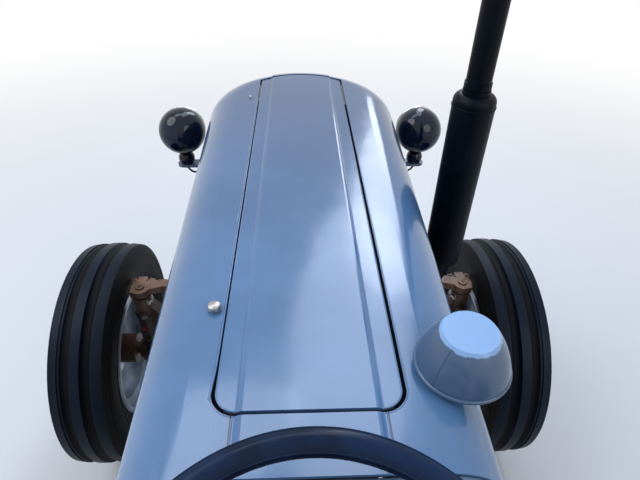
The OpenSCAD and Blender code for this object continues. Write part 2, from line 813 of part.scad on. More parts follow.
module seat_spring() {
  leaf = 10;
  turn_r = 37.5;
  color(black) {
    box(ra + 60, ra + 240, -35, 35, 850.2, 850 + leaf);
    box(ra - 60, ra + 240, -35, 35, 915, 915 + leaf);
    translate([ra + 240, 0, 887.5]) rotate([90, 0, 0]) rotate([0, 0, -90])
      linear_extrude(height = 70, center = true) difference() {
        circle(r = turn_r);
        circle(r = turn_r - leaf);
        translate([-50, -50]) square([100, 50]);
      }
  }
}

module seat() {
  rim_r = 215;
  wall = 6;
  tip = 14;
  color(grey) translate([ra - 20, 0, 925.2]) {
    difference() {
      union() {
        // pan with a rounded foot
        rotate_extrude($fn = 96) {
          translate([0, 0]) square([rim_r - 40, 60]);
          translate([rim_r - 40, 40]) circle(r = 40);
          translate([0, 40]) square([rim_r, 90]);
        }
      }
      translate([0, 0, wall]) rotate_extrude($fn = 96) {
        square([rim_r - 40, 60]);
        translate([rim_r - 40, 40 - wall]) circle(r = 40 - wall);
        translate([0, 40 - wall]) square([rim_r - wall, 120]);
        translate([0, 0]) square([rim_r - 40, 40]);
      }
      translate([rim_r, 0, 28]) rotate([0, tip, 0]) translate([-600, -300, 0]) cube([700, 600, 300]);
      // drain holes
      for (a = [30 : 60 : 330]) translate([110 * cos(a), 110 * sin(a), -5]) cylinder(h = 30, r = 14);
      for (a = [0 : 60 : 300]) translate([62 * cos(a), 62 * sin(a), -5]) cylinder(h = 30, r = 9);
    }
  }
}

// filled section of a fender from its inner side to the rounded outer edge
module fender_section(inner, outer, crown_r, edge_r) {
  translate([170, inner]) square([crown_r - 170, outer - edge_r - inner]);
  translate([170, inner]) square([crown_r - edge_r - 170, outer - inner]);
  translate([crown_r - edge_r, outer - edge_r]) circle(r = edge_r);
}

module fender(s) {
  inner = 436;
  outer = rear_track / 2 + 110;
  crown_r = rzr + 45;
  edge_r = 30;
  color(grey) side(s) translate([ra, 0, rzr]) rotate([90, 0, 0]) mirror([0, 0, 1])
    rotate([0, 0, 14]) rotate_extrude(angle = 152, $fn = 128) {
      difference() {
        fender_section(inner, outer, crown_r, edge_r);
        fender_section(inner + sheet, outer - sheet, crown_r - sheet, edge_r - sheet);
        // open side, with a narrow lip below the rounded edge
        translate([0, inner + sheet]) square([crown_r - edge_r - 14, outer]);
      }
      translate([170, inner]) square([10, 9]);
    }
}

module footrest(s) {
  color(bronze) side(s) {
    box(fa - 1120, fa - 940, 185.3, 192, 372, 480);
    box(fa - 1120, fa - 940, 185.3, 425, 372, 378);
    box(fa - 1120, fa - 940, 420, 425, 372, 386);
    for (i = [0 : 6]) {
      box(fa - 1110 + i * 25, fa - 1102 + i * 25, 210, 410, 377, 382);
    }
  }
}

module pedal() {
  color(bronze) {
    ycyl(185.3, 330, fa - 1090, 520, 12);
    ycyl(300, 334, fa - 1090, 520, 20);
    rod([fa - 1090, 322, 520], [fa - 960, 322, 590], 9);
    translate([fa - 955, 322, 592]) rotate([0, -50, 0]) {
      cube([84, 72, 9], center = true);
      for (i = [-3 : 3]) translate([i * 12, 0, 6]) cube([5, 72, 5], center = true);
    }
  }
}
module clutch_pedal() {
  pedal();
}
module brake_pedal() {
  mirror([0, 1, 0]) pedal();
}

// steering

module at_wheel() {
  translate([fa - wheel_back, 0, wheel_z]) rotate([0, -column_lean, 0]) children();
}

module steering_column() {
  color(bronze) {
    along_y(-95, 95) polygon([[drop_x - 85, 790.3], [drop_x + 85, 790.3], [drop_x + 85, 850],
                              [drop_x + 50, 925], [drop_x - 30, 925], [drop_x - 85, 880]]);
    ycyl(-130, 130, drop_x, drop_z, 34);
    ycyl(-245, 245, drop_x, drop_z, 16);
    at_wheel() translate([0, 0, -400]) cylinder(h = 345, r = 22);
    at_wheel() translate([0, 0, -330]) cylinder(h = 30, r = 32);
    at_wheel() translate([0, 0, -60]) cylinder(h = 66, r = 11);
    // throttle lever under the wheel
    at_wheel() rod([0, 0, -95], [40, -120, -80], 5);
    at_wheel() translate([40, -120, -80]) sphere(r = 11);
  }
}

module steering_wheel() {
  spokes = 3;
  color(black) at_wheel() difference() {
    union() {
      rotate_extrude($fn = 96) translate([wheel_d / 2 - wheel_rim_d / 2, 0]) circle(d = wheel_rim_d);
      translate([0, 0, -48]) cylinder(h = 60, r = 30);
      translate([0, 0, 10]) cylinder(h = 8, r1 = 30, r2 = 20);
      for (i = [0 : spokes - 1]) {
        a = 180 + i * 120;
        rod([18 * cos(a), 18 * sin(a), -20],
            [(wheel_d / 2 - 15) * cos(a), (wheel_d / 2 - 15) * sin(a), -1], 7);
      }
    }
    translate([0, 0, -60]) cylinder(h = 66.5, r = 11 + pin_gap);
  }
}

module drop_arm(s) {
  color(bronze) side(s) difference() {
    union() {
      ycyl(201, 241, drop_x, drop_z, 30);
      along_y(206, 224) polygon([[drop_x - 24, drop_z], [drop_x + 24, drop_z],
                                 [drop_x + 15, drag_z], [drop_x - 15, drag_z]]);
      ycyl(206, 224, drop_x, drag_z, 22);
      ycyl(215, 282, drop_x, drag_z, 8);
    }
    ycyl(190, 250, drop_x, drop_z, 16 + pin_gap);
  }
}

module drag_link(s) {
  ay = kingpin_y - arm_len;
  color(bronze) side(s) difference() {
    union() {
      zcyl(drag_z - 13, drag_z + 13, fa, ay, 18);
      rod([fa - 10, ay - 1, drag_z], [drop_x + 22, 244, drag_z + 4], 9);
      rod([fa - 30, ay - 3, drag_z], [fa - 110, ay - 12, drag_z + 0.3], 13);
      ycyl(234, 254, drop_x, drag_z + 8.3, 26);
    }
    zcyl(drag_z - 20, drag_z + 20, fa, ay, 9 + pin_gap);
    ycyl(220, 270, drop_x, drag_z + 8.3, 18.2);
  }
}

module knuckle(s) {
  ay = kingpin_y - arm_len;
  under = beam_z - 60;
  arm_low = beam_z + 152;
  arm_top = drag_z - 19;
  color(bronze) side(s) {
    zcyl(under - 88, arm_top, fa, kingpin_y, kingpin_r);
    zcyl(under - 88, under, fa, kingpin_y, 31);
    // stub with its backing flange
    ycyl(kingpin_y, front_track / 2 + 30, fa, fzr, 20);
    ycyl(kingpin_y + 20, kingpin_y + 34, fa, fzr, 46);
    ycyl(kingpin_y + 30, kingpin_y + 48, fa, fzr, 34);
    // steering arm with a clamp boss round the kingpin
    zcyl(arm_low, arm_top, fa, kingpin_y, 30);
    zcyl(arm_top - 1, arm_top + 3, fa, kingpin_y, 14);
    translate([0, 0, arm_low]) linear_extrude(height = arm_top - arm_low) {
      polygon([[fa - 16, kingpin_y - 10], [fa + 26, kingpin_y - 10], [fa + 38, kingpin_y - 70],
               [fa + 17, ay - 6], [fa - 17, ay - 6], [fa + 4, kingpin_y - 70]]);
      translate([fa + 20, kingpin_y - 14]) square([30, 28]);
      translate([fa - 25, kingpin_y]) square([50, 26]);
    }
    ycyl(kingpin_y - 24, kingpin_y + 24, fa + 39, (arm_low + arm_top) / 2, 7);
    zcyl(arm_low, arm_top, fa, ay, 20);
    zcyl(arm_low, drag_z + 22, fa, ay, 9);
  }
}

// wheels

// two sidewall arcs and the crown between the bead and the tread; d is the inset
module carcass(seat, tip, half, mid, upper, lower, crown, d) {
  intersection() {
    translate([mid, half - upper]) circle(r = upper - d);
    translate([mid, upper - half]) circle(r = upper - d);
    translate([tip - crown, 0]) circle(r = crown - d);
    translate([mid, -half]) square([tip - mid + 1, 2 * half]);
  }
  intersection() {
    translate([mid, half - lower]) circle(r = lower - d);
    translate([mid, lower - half]) circle(r = lower - d);
    translate([seat, -half]) square([mid - seat + 0.01, 2 * half]);
  }
}

module front_tyre(s) {
  seat = front_rim_d / 2 + seat_gap;
  tip = front_tyre_d / 2;
  half = front_tyre_w / 2;
  groove_w = 29;
  step_w = groove_w / 2 + 6;
  groove_mid = rib_half + groove_w / 2;
  mid = tip - 72;
  wall = 13;
  color(rubber) side(s) turned_y(fa, front_track / 2, fzr) difference() {
    carcass(seat, tip, half, mid, 185, 150, 420, 0);
    intersection() {
      carcass(seat - 60, tip, half, mid, 185, 150, 420, wall);
      translate([seat - 40, 30 - half]) square([tip - seat + 14, 2 * half - 60]);
    }
    // two wide round grooves between three ribs
    for (w = [-1, 1]) {
      translate([tip - groove_h + groove_w / 2, w * groove_mid]) circle(r = groove_w / 2);
      translate([tip - groove_h + groove_w / 2, w * groove_mid - groove_w / 2]) square([40, groove_w]);
      // low step at the inner edge of each shoulder rib
      translate([tip - 6, w * groove_mid + (w > 0 ? 0 : -step_w)]) square([40, step_w]);
    }
  }
}

module front_wheel(s) {
  seat = front_rim_d / 2;
  mid = front_track / 2;
  color(silver) side(s) {
    difference() {
      union() {
        // drop centre rim with rolled edges, and the dished disc
        turned_y(fa, mid, fzr) {
          polygon([[seat - 6, -70], [seat + 10, -72], [seat + 14, -67], [seat, -61], [seat, -34],
                   [seat - 26, -26], [seat - 26, 18], [seat, 30], [seat, 61], [seat + 14, 67],
                   [seat + 10, 72], [seat - 6, 70], [seat - 6, 34], [seat - 32, 22],
                   [seat - 32, -30], [seat - 6, -38]]);
          polygon([[40, 34], [92, 34], [104, 20], [150, 12], [seat - 28, 10], [seat - 28, 2],
                   [148, 4], [98, 12], [88, 26], [40, 26]]);
        }
        ycyl(mid - 62, mid + 30, fa, fzr, 50);
        ycyl(mid + 28, mid + 60, fa, fzr, 38);
        ycyl(mid + 58, mid + 66, fa, fzr, 28);
        bolts_y(5, front_pcd, fa, fzr, mid + 30, mid + 44, 11);
      }
      ycyl(mid - 90, mid + 31, fa, fzr, 20 + pin_gap);
    }
  }
}

// one lug lying flat: out to the side along X, its leading nose along Y
lug_nose = 46;
module lug_plan(end) {
  polygon([[4, 8], [4, lug_nose], [18, 44], [62, 10], [end - 10, -48], [end, -62], [end, -96],
           [end - 18, -92], [50, -30]]);
}

module rear_tyre(s) {
  seat = rear_rim_d / 2 + seat_gap;
  tip = rear_tyre_d / 2;
  base = tip - lug_h;
  half = rear_tyre_w / 2;
  mid = base - 105;
  wall = 18;
  lean = 5;
  end = half / cos(lean);
  top = sqrt(tip * tip - lug_nose * lug_nose) + 4 * sin(lean);
  // turns one lug's nose to the lowest point
  phase = asin(lug_nose / tip);
  color(rubber) side(s) {
    turned_y(ra, rear_track / 2, rzr) difference() {
      carcass(seat, base, half - 2, mid, 150, 220, 420, 0);
      intersection() {
        carcass(seat - 60, base, half - 2, mid, 150, 220, 420, wall);
        translate([seat - 40, 52 - half]) square([base - seat + 20, 2 * half - 104]);
      }
    }
    translate([ra, rear_track / 2, rzr]) rotate([-90, 0, 0])
      for (i = [0 : lug_pairs - 1], w = [0, 1]) {
        rotate([0, 0, (i + w / 2) * 360 / lug_pairs - phase]) mirror([0, 0, w]) translate([top, 0, 0])
          rotate([0, -lean, 0]) rotate([0, -90, 0]) {
            linear_extrude(height = lug_h + 25) lug_plan(end);
            // the end runs down the shoulder
            linear_extrude(height = 92) intersection() {
              lug_plan(end);
              translate([100, -200]) square([100, 300]);
            }
          }
      }
  }
}

module rear_wheel(s) {
  seat = rear_rim_d / 2;
  mid = rear_track / 2;
  color(silver) side(s) {
    difference() {
      union() {
        // drop centre rim with rolled edges, and the dished disc
        turned_y(ra, mid, rzr) {
          polygon([[seat - 8, -116], [seat + 14, -119], [seat + 18, -112], [seat, -107], [seat, -60],
                   [seat - 34, -46], [seat - 34, 46], [seat, 60], [seat, 107], [seat + 18, 112],
                   [seat + 14, 119], [seat - 8, 116], [seat - 8, 66], [seat - 42, 50],
                   [seat - 42, -50], [seat - 8, -66]]);
          polygon([[60, -60], [150, -60], [190, -32], [seat - 60, -6], [seat - 38, -6],
                   [seat - 38, -16], [seat - 62, -16], [194, -42], [156, -70], [60, -70]]);
        }
        ycyl(mid - 99, mid - 26, ra, rzr, 62);
        ycyl(mid - 28, mid + 20, ra, rzr, 46);
        ycyl(mid - 99, mid - 62, ra, rzr, 130);
        bolts_y(8, rear_pcd, ra, rzr, mid - 62, mid - 44, 13);
      }
      ycyl(mid - 120, mid - 34, ra, rzr, 35 + pin_gap);
    }
    // lugs that hold the rim to the disc
    for (a = [0 : 45 : 315]) {
      translate([ra, mid, rzr]) rotate([0, a, 0]) box(seat - 64, seat - 34, -12, 6, -26, 26);
    }
  }
}

// rear linkage

function link_at(d) = [ra + link_piv_dx - d * cos(link_drop), 0, link_piv_z - d * sin(link_drop)];
function link_y(d) = 196 + 150 * d / link_len;
lift_end = [cross_x - lift_len * cos(lift_drop), 0, cross_z - lift_len * sin(lift_drop)];

module lift_arms() {
  color(bronze) {
    ycyl(-210, 210, cross_x, cross_z, 28);
    both() {
      ycyl(186, 214, cross_x, cross_z, 44);
      rod([cross_x, 200, cross_z], [lift_end[0], 200, lift_end[2]], 12);
      ycyl(186, 214, lift_end[0], lift_end[2], 22);
      ycyl(200, 250, lift_end[0], lift_end[2], 9);
    }
  }
}

module lift_rod(s) {
  b = link_at(link_rod_at);
  by = link_y(link_rod_at) + 28;
  top = [lift_end[0], 232, lift_end[2] - 10];
  low = [b[0] + 5, by, b[2] + 16];
  color(bronze) side(s) difference() {
    union() {
      ycyl(220, 244, lift_end[0], lift_end[2], 20);
      rod(top, low, 10);
      // levelling box
      rod(top + (low - top) * 0.18, top + (low - top) * 0.44, 20);
      rod(top + (low - top) * 0.6, top + (low - top) * 0.95, 14);
      ycyl(by - 9, by + 9, b[0] + 5, b[2], 25);
    }
    ycyl(210, 255, lift_end[0], lift_end[2], 9 + pin_gap);
    ycyl(by - 20, by + 20, b[0] + 5, b[2], 15);
  }
}

module lower_link(s) {
  a = link_at(0);
  b = link_at(link_rod_at);
  e = link_at(link_len);
  color(bronze) side(s) difference() {
    union() {
      ycyl(184, 208, a[0], a[2], 30);
      rod([a[0] - 20, 196, a[2] - 5], [e[0] + 15, link_y(link_len), e[2] + 4], 13);
      ycyl(link_y(link_len) - 16, link_y(link_len) + 16, e[0], e[2], link_eye_r);
      ycyl(link_y(link_rod_at), link_y(link_rod_at) + 42, b[0], b[2], 8);
    }
    ycyl(170, 220, a[0], a[2], 16 + pin_gap);
    ycyl(300, 400, e[0], e[2], link_bore_r);
  }
}

engine();
manifold();
exhaust();
air_cleaner();
precleaner();
fan();
radiator();
fuel_tank();
front_support();
front_axle();
radius_rod(1);  // radius_rod_left
radius_rod(-1);  // radius_rod_right
gearbox();
rear_axle();
lift_cover();
hood();
grille();
dash_panel();
headlamp(1);  // headlamp_left
headlamp(-1);  // headlamp_right
lamp_lead(1);  // lamp_lead_left
lamp_lead(-1);  // lamp_lead_right
seat_spring();
seat();
fender(1);  // fender_left
fender(-1);  // fender_right
footrest(1);  // footrest_left
footrest(-1);  // footrest_right
clutch_pedal();
brake_pedal();
steering_column();
steering_wheel();
drop_arm(1);  // drop_arm_left
drop_arm(-1);  // drop_arm_right
drag_link(1);  // drag_link_left
drag_link(-1);  // drag_link_right
knuckle(1);  // knuckle_left
knuckle(-1);  // knuckle_right
front_tyre(1);  // front_tyre_left
front_tyre(-1);  // front_tyre_right
front_wheel(1);  // front_wheel_left
front_wheel(-1);  // front_wheel_right
rear_tyre(1);  // rear_tyre_left
rear_tyre(-1);  // rear_tyre_right
rear_wheel(1);  // rear_wheel_left
rear_wheel(-1);  // rear_wheel_right
lift_arms();
lift_rod(1);  // lift_rod_left
lift_rod(-1);  // lift_rod_right
lower_link(1);  // lower_link_left
lower_link(-1);  // lower_link_right
pto_shaft();
hood_panel();
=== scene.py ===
import json
import math

import bmesh
import bpy
from mathutils import Matrix, Vector


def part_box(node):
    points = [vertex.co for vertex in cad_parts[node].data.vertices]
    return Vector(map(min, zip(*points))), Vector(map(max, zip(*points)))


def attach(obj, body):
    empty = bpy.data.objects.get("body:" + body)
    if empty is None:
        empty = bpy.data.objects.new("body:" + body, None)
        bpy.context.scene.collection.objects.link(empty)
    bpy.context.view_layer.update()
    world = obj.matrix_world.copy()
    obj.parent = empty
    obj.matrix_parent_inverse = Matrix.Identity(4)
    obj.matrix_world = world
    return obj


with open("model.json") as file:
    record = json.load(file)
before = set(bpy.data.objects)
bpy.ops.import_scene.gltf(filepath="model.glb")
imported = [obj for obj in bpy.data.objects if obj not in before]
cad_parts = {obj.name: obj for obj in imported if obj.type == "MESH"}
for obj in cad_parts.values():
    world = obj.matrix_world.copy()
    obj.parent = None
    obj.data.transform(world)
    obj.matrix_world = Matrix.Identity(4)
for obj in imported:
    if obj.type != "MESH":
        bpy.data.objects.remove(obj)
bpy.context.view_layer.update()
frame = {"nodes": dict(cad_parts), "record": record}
nodes = frame["nodes"]

TURN = 2 * math.pi
SIDES = (("left", 1), ("right", -1))
UP, DOWN, AHEAD, BACK = (0, 0, 1), (0, 0, -1), (1, 0, 0), (-1, 0, 0)

# Places and sizes are in millimetres, as in the part's source, up to the finished mesh. The node
# trees and the camera work in metres.
front_low, front_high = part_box("front_tyre_left")
rear_low, rear_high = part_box("rear_tyre_left")
FA = (front_low.x + front_high.x) * 500  # X of the front axle
RA = (rear_low.x + rear_high.x) * 500  # X of the rear axle
FRONT_Y = (front_low.y + front_high.y) * 500
REAR_Y = (rear_low.y + rear_high.y) * 500
FRONT_Z = FRONT_R = 368.5  # a wheel stands on the floor, so its hub is as high as its radius
REAR_Z = REAR_R = 620.0
# frames on the hood's top and in the middle of the steering wheel's rim
HOOD_BACK, HOOD_TOP, HOOD_FALL = 906, 1230, 0.68
HOOD = (Matrix.Translation((FA - HOOD_BACK, 0, HOOD_TOP))
        @ Matrix.Rotation(math.radians(HOOD_FALL), 4, "Y"))
WHEEL_BACK, WHEEL_Z, COLUMN_LEAN = 1095, 1252, 18
WHEEL = (Matrix.Translation((FA - WHEEL_BACK, 0, WHEEL_Z))
         @ Matrix.Rotation(math.radians(-COLUMN_LEAN), 4, "Y"))
RIM_PATH, RIM_R = 192, 14
# lamps, air cleaner, exhaust, fan belt and crankshaft
LAMP_X, LAMP_Y, LAMP_Z = FA + 262, 366, 1066
STACK_X, STACK_Y = FA - 769, -194
EX_X, EX_Y = FA - 130, -378
BELT_BACK, BELT_FRONT = FA - 142, FA - 134
CRANK_Z = 545
# kingpins, middle height and outer end of the axle's beam, steering arms and drag links
KINGPIN_Y = FRONT_Y - 123.5
BEAM_Z = FRONT_Z + 111.5
BEAM_END = KINGPIN_Y - 205
ARM_LEN, DRAG_Z = 140, 675
# pivots, lengths and falls at rest of the lower links and the lift arms; power take-off
LINK_X, LINK_Z, LINK_LEN, LINK_DROP = RA + 20, 400, 790, math.radians(13.4)
CROSS_X, CROSS_Z, LIFT_LEN, LIFT_DROP = RA - 130, 850, 230, math.radians(25)
TAKE_OFF_Z = 520

# camera: where the photograph was taken from, over the steering wheel
CAMERA_AT = Vector((FA / 1000 - 1.160, 0.0098, 1.7442))
LOOK_DOWN, LOOK_RIGHT, ROLL = math.radians(37.98), math.radians(-3.0), math.radians(1.175)
LENS, SENSOR = 27.81, 36.0


def camera():
    """Looks down along the hood, with the small roll that the photograph has."""
    ahead = Vector((math.cos(LOOK_DOWN) * math.cos(LOOK_RIGHT),
                    math.cos(LOOK_DOWN) * math.sin(LOOK_RIGHT), -math.sin(LOOK_DOWN)))
    right = Vector((math.sin(LOOK_RIGHT), -math.cos(LOOK_RIGHT), 0))
    up = right.cross(ahead)
    right, up = (right * math.cos(ROLL) + up * math.sin(ROLL),
                 up * math.cos(ROLL) - right * math.sin(ROLL))
    data = bpy.data.cameras.new("camera")
    data.lens, data.sensor_width = LENS, SENSOR
    data.clip_start, data.clip_end = 0.02, 100
    obj = bpy.data.objects.new("camera", data)
    obj.matrix_world = Matrix((right, up, -ahead)).transposed().to_4x4()
    obj.location = CAMERA_AT
    bpy.context.scene.collection.objects.link(obj)
    bpy.context.scene.camera = obj


camera()

# materials


def tint(code):
    """sRGB hex to the linear colour that a socket takes."""
    value = [int(code[i:i + 2], 16) / 255 for i in (1, 3, 5)]
    return tuple(v / 12.92 if v <= 0.04045 else ((v + 0.055) / 1.055) ** 2.4 for v in value) + (1,)


def add(tree, kind, settings=None, **inputs):
    """Adds a node with its settings and links, and returns its outputs."""
    made = tree.nodes.new("ShaderNode" + kind)
    for key, value in (settings or {}).items():
        setattr(made, key, value)
    for key, value in inputs.items():
        socket = made.inputs[int(key[1:])] if key[0] == "i" and key[1:].isdigit() \
            else made.inputs[key.replace("_", " ")]
        if isinstance(value, bpy.types.NodeSocket):
            tree.links.new(value, socket)
        else:
            socket.default_value = value
    return made.outputs


def blank(name):
    """A new material, its tree and its Object coordinates."""
    made = bpy.data.materials.new(name)
    made.use_nodes = True
    made.node_tree.nodes.clear()
    return made, made.node_tree, add(made.node_tree, "TexCoord")["Object"]


def from_hub(tree, place, x, z):
    """The distance in metres from a wheel's axis."""
    shifted = add(tree, "Mapping", Vector=place, Location=(-x / 1000, 0, -z / 1000))[0]
    flat = add(tree, "VectorMath", {"operation": "MULTIPLY"}, i0=shifted, i1=(1, 0, 1))[0]
    return add(tree, "VectorMath", {"operation": "LENGTH"}, i0=flat)["Value"]


def brushed_enamel(name, light, dark, rough=0.11, painted_sheen=None, gutter_shade_and_grime=False):
    """Grey alkyd enamel brushed on sheet steel: deep gloss, so it mirrors the light in soft
    streaks. Brush marks run along the sheet, and smears and dust break the gloss. Above a given
    height, in metres, the flat top is lightened by a painted reflection."""
    made, tree, place = blank(name)
    cloud = add(tree, "TexNoise", Vector=place, Scale=1000 / 260, Detail=4.0)[0]
    tone = add(tree, "MapRange", Value=cloud, From_Min=0.35, From_Max=0.65)[0]
    colour = add(tree, "MixRGB", Fac=tone, Color1=tint(dark), Color2=tint(light))[0]
    # painted shade: the colour is darker towards the nose
    nose = add(tree, "SeparateXYZ", Vector=place)[0]
    nose = add(tree, "MapRange", {"interpolation_type": "SMOOTHSTEP"}, Value=nose,
               From_Min=FA / 1000 - 0.7, From_Max=FA / 1000 + 0.25, To_Max=0.8)[0]
    colour = add(tree, "MixRGB", Fac=nose, Color1=colour, Color2=tint("#28496f"))[0]
    # fine dust in spots 2 mm across
    spots = add(tree, "TexNoise", Vector=place, Scale=1000 / 2, Detail=2.0)[0]
    dust = add(tree, "MapRange", Value=spots, From_Min=0.70, From_Max=0.80, To_Max=0.22)[0]
    colour = add(tree, "MixRGB", Fac=dust, Color1=colour, Color2=tint("#b9c8d8"))[0]
    if painted_sheen:
        # painted reflection: the flat top is lightened, with a ragged edge in patches of 12 mm
        height = add(tree, "SeparateXYZ", Vector=place)[2]
        rag = add(tree, "TexNoise", Vector=place, Scale=1000 / 12, Detail=5.0, Roughness=0.7)[0]
        edge = add(tree, "MapRange", Value=rag, To_Min=-0.004, To_Max=0.004)[0]
        level = add(tree, "Math", {"operation": "ADD"}, i0=height, i1=edge)[0]
        top = add(tree, "MapRange", Value=level, From_Min=painted_sheen - 0.0006, From_Max=painted_sheen + 0.0006)[0]
        colour = add(tree, "MixRGB", Fac=top, Color1=colour, Color2=tint("#8ab1e0"))[0]
    if gutter_shade_and_grime:
        # painted shade and grime: black in the gutter under the edge of the panel, in the hood's
        # own frame
        depth, half, reach = -0.0017, 0.134, 1.20
        local = add(tree, "Mapping", {"vector_type": "TEXTURE"}, Vector=place,
                    Location=HOOD.translation / 1000, Rotation=HOOD.to_euler())[0]
        axes = add(tree, "SeparateXYZ", Vector=local)
        low = add(tree, "Math", {"operation": "LESS_THAN"}, i0=axes[2], i1=depth)[0]
        width = add(tree, "Math", {"operation": "ABSOLUTE"}, i0=axes[1])[0]
        near = add(tree, "Math", {"operation": "LESS_THAN"}, i0=width, i1=half)[0]
        back = add(tree, "Math", {"operation": "LESS_THAN"}, i0=axes[0], i1=reach)[0]
        shade_grime_and_seams = add(tree, "Math", {"operation": "MULTIPLY"}, i0=low, i1=near)[0]
        shade_grime_and_seams = add(tree, "Math", {"operation": "MULTIPLY"}, i0=shade_grime_and_seams, i1=back)[0]
        # and along the seams of the strip behind the panel
        line, thick, end = 0.0922, 0.0008, 0.0795
        seam = add(tree, "Math", {"operation": "COMPARE"}, i0=width, i1=line, i2=thick)[0]
        rear = add(tree, "Math", {"operation": "LESS_THAN"}, i0=axes[0], i1=end)[0]
        seam = add(tree, "Math", {"operation": "MULTIPLY"}, i0=seam, i1=rear)[0]
        shade_grime_and_seams = add(tree, "Math", {"operation": "MAXIMUM"}, i0=shade_grime_and_seams, i1=seam)[0]
        colour = add(tree, "MixRGB", Fac=shade_grime_and_seams, Color1=colour, Color2=tint("#020408"))[0]
    smear = add(tree, "TexNoise", Vector=place, Scale=1000 / 70, Detail=5.0, Roughness=0.65)[0]
    gloss = add(tree, "MapRange", Value=smear, From_Min=0.35, From_Max=0.75, To_Min=rough,
                To_Max=rough + 0.09)[0]
    # brush marks 5 mm apart and 60 mm long, over the slow wave of pressed sheet
    long = add(tree, "Mapping", Vector=place, Scale=(16, 200, 30))[0]
    marks = add(tree, "TexNoise", Vector=long, Scale=1.0, Detail=2.0)[0]
    sheet = add(tree, "TexNoise", Vector=place, Scale=1000 / 120, Detail=2.0, Roughness=0.4)[0]
    wave = add(tree, "Bump", Height=sheet, Distance=0.0016, Strength=0.5)[0]
    skin = add(tree, "Bump", Height=marks, Distance=0.0002, Strength=0.22, Normal=wave)[0]
    shader = add(tree, "BsdfPrincipled", Base_Color=colour, Roughness=gloss, Normal=skin,
                 Coat_Weight=0.15, Coat_Roughness=0.05)[0]
    add(tree, "OutputMaterial", Surface=shader)
    return made


def painted_casting(name, paint, deep, grime, rough=0.42):
    """Bronze-coloured enamel brushed on sand-cast iron: satin, pitted by the sand at 3 mm, with
    black oil lying in the hollows, and darker towards the bottom."""
    made, tree, place = blank(name)
    cloud = add(tree, "TexNoise", Vector=place, Scale=1000 / 90, Detail=5.0, Roughness=0.6)[0]
    tone = add(tree, "MapRange", Value=cloud, From_Min=0.3, From_Max=0.7)[0]
    colour = add(tree, "MixRGB", Fac=tone, Color1=tint(deep), Color2=tint(paint))[0]
    oil = add(tree, "TexNoise", Vector=place, Scale=1000 / 45, Detail=6.0, Roughness=0.7)[0]
    dirty = add(tree, "MapRange", Value=oil, From_Min=0.50, From_Max=0.70, To_Max=0.85)[0]
    colour = add(tree, "MixRGB", Fac=dirty, Color1=colour, Color2=tint(grime))[0]
    # darker towards the bottom, below the height of the steering arms
    height = add(tree, "SeparateXYZ", Vector=place)[2]
    ragged = add(tree, "MapRange", Value=cloud, From_Min=0.3, From_Max=0.7, To_Min=-0.05,
                 To_Max=0.05)[0]
    height = add(tree, "Math", {"operation": "ADD"}, i0=height, i1=ragged)[0]
    darker_below = add(tree, "MapRange", Value=height, From_Min=0.66, From_Max=0.56, To_Max=0.8)[0]
    colour = add(tree, "MixRGB", Fac=darker_below, Color1=colour, Color2=tint(grime))[0]
    gloss = add(tree, "MapRange", Value=oil, From_Min=0.3, From_Max=0.7, To_Min=rough,
                To_Max=rough - 0.14)[0]
    lumps = add(tree, "TexNoise", Vector=place, Scale=1000 / 16, Detail=3.0)[0]
    grit = add(tree, "TexNoise", Vector=place, Scale=1000 / 2.6, Detail=3.0, Roughness=0.6)[0]
    cast = add(tree, "Bump", Height=lumps, Distance=0.0012, Strength=0.35)[0]
    skin = add(tree, "Bump", Height=grit, Distance=0.0005, Strength=0.45, Normal=cast)[0]
    shader = add(tree, "BsdfPrincipled", Base_Color=colour, Roughness=gloss, Normal=skin,
                 Specular_IOR_Level=0.35)[0]
    add(tree, "OutputMaterial", Surface=shader)
    return made


def stoved_black(name, paint="#06101f", plate=None):
    """Black enamel stoved on spun steel: near black with a mirror gloss, so the lights of the
    studio stand in it. Below the height plate, in metres, it is a bracket in grey paint."""
    made, tree, place = blank(name)
    film = add(tree, "TexNoise", Vector=place, Scale=1000 / 60, Detail=3.0)[0]
    tone = add(tree, "MapRange", Value=film, From_Min=0.3, From_Max=0.7)[0]
    colour = add(tree, "MixRGB", Fac=tone, Color1=tint(paint), Color2=tint("#0a1c36"))[0]
    rough = 0.05
    if plate:
        height = add(tree, "SeparateXYZ", Vector=place)[2]
        low = add(tree, "Math", {"operation": "LESS_THAN"}, i0=height, i1=plate)[0]
        colour = add(tree, "MixRGB", Fac=low, Color1=colour, Color2=tint("#5d6e84"))[0]
        rough = add(tree, "MapRange", Value=low, To_Min=0.05, To_Max=0.35)[0]
    peel = add(tree, "TexNoise", Vector=place, Scale=1000 / 6, Detail=2.0)[0]
    skin = add(tree, "Bump", Height=peel, Distance=0.00005, Strength=0.2)[0]
    shader = add(tree, "BsdfPrincipled", Base_Color=colour, Roughness=rough, Normal=skin,
                 Specular_IOR_Level=0.3)[0]
    add(tree, "OutputMaterial", Surface=shader)
    return made


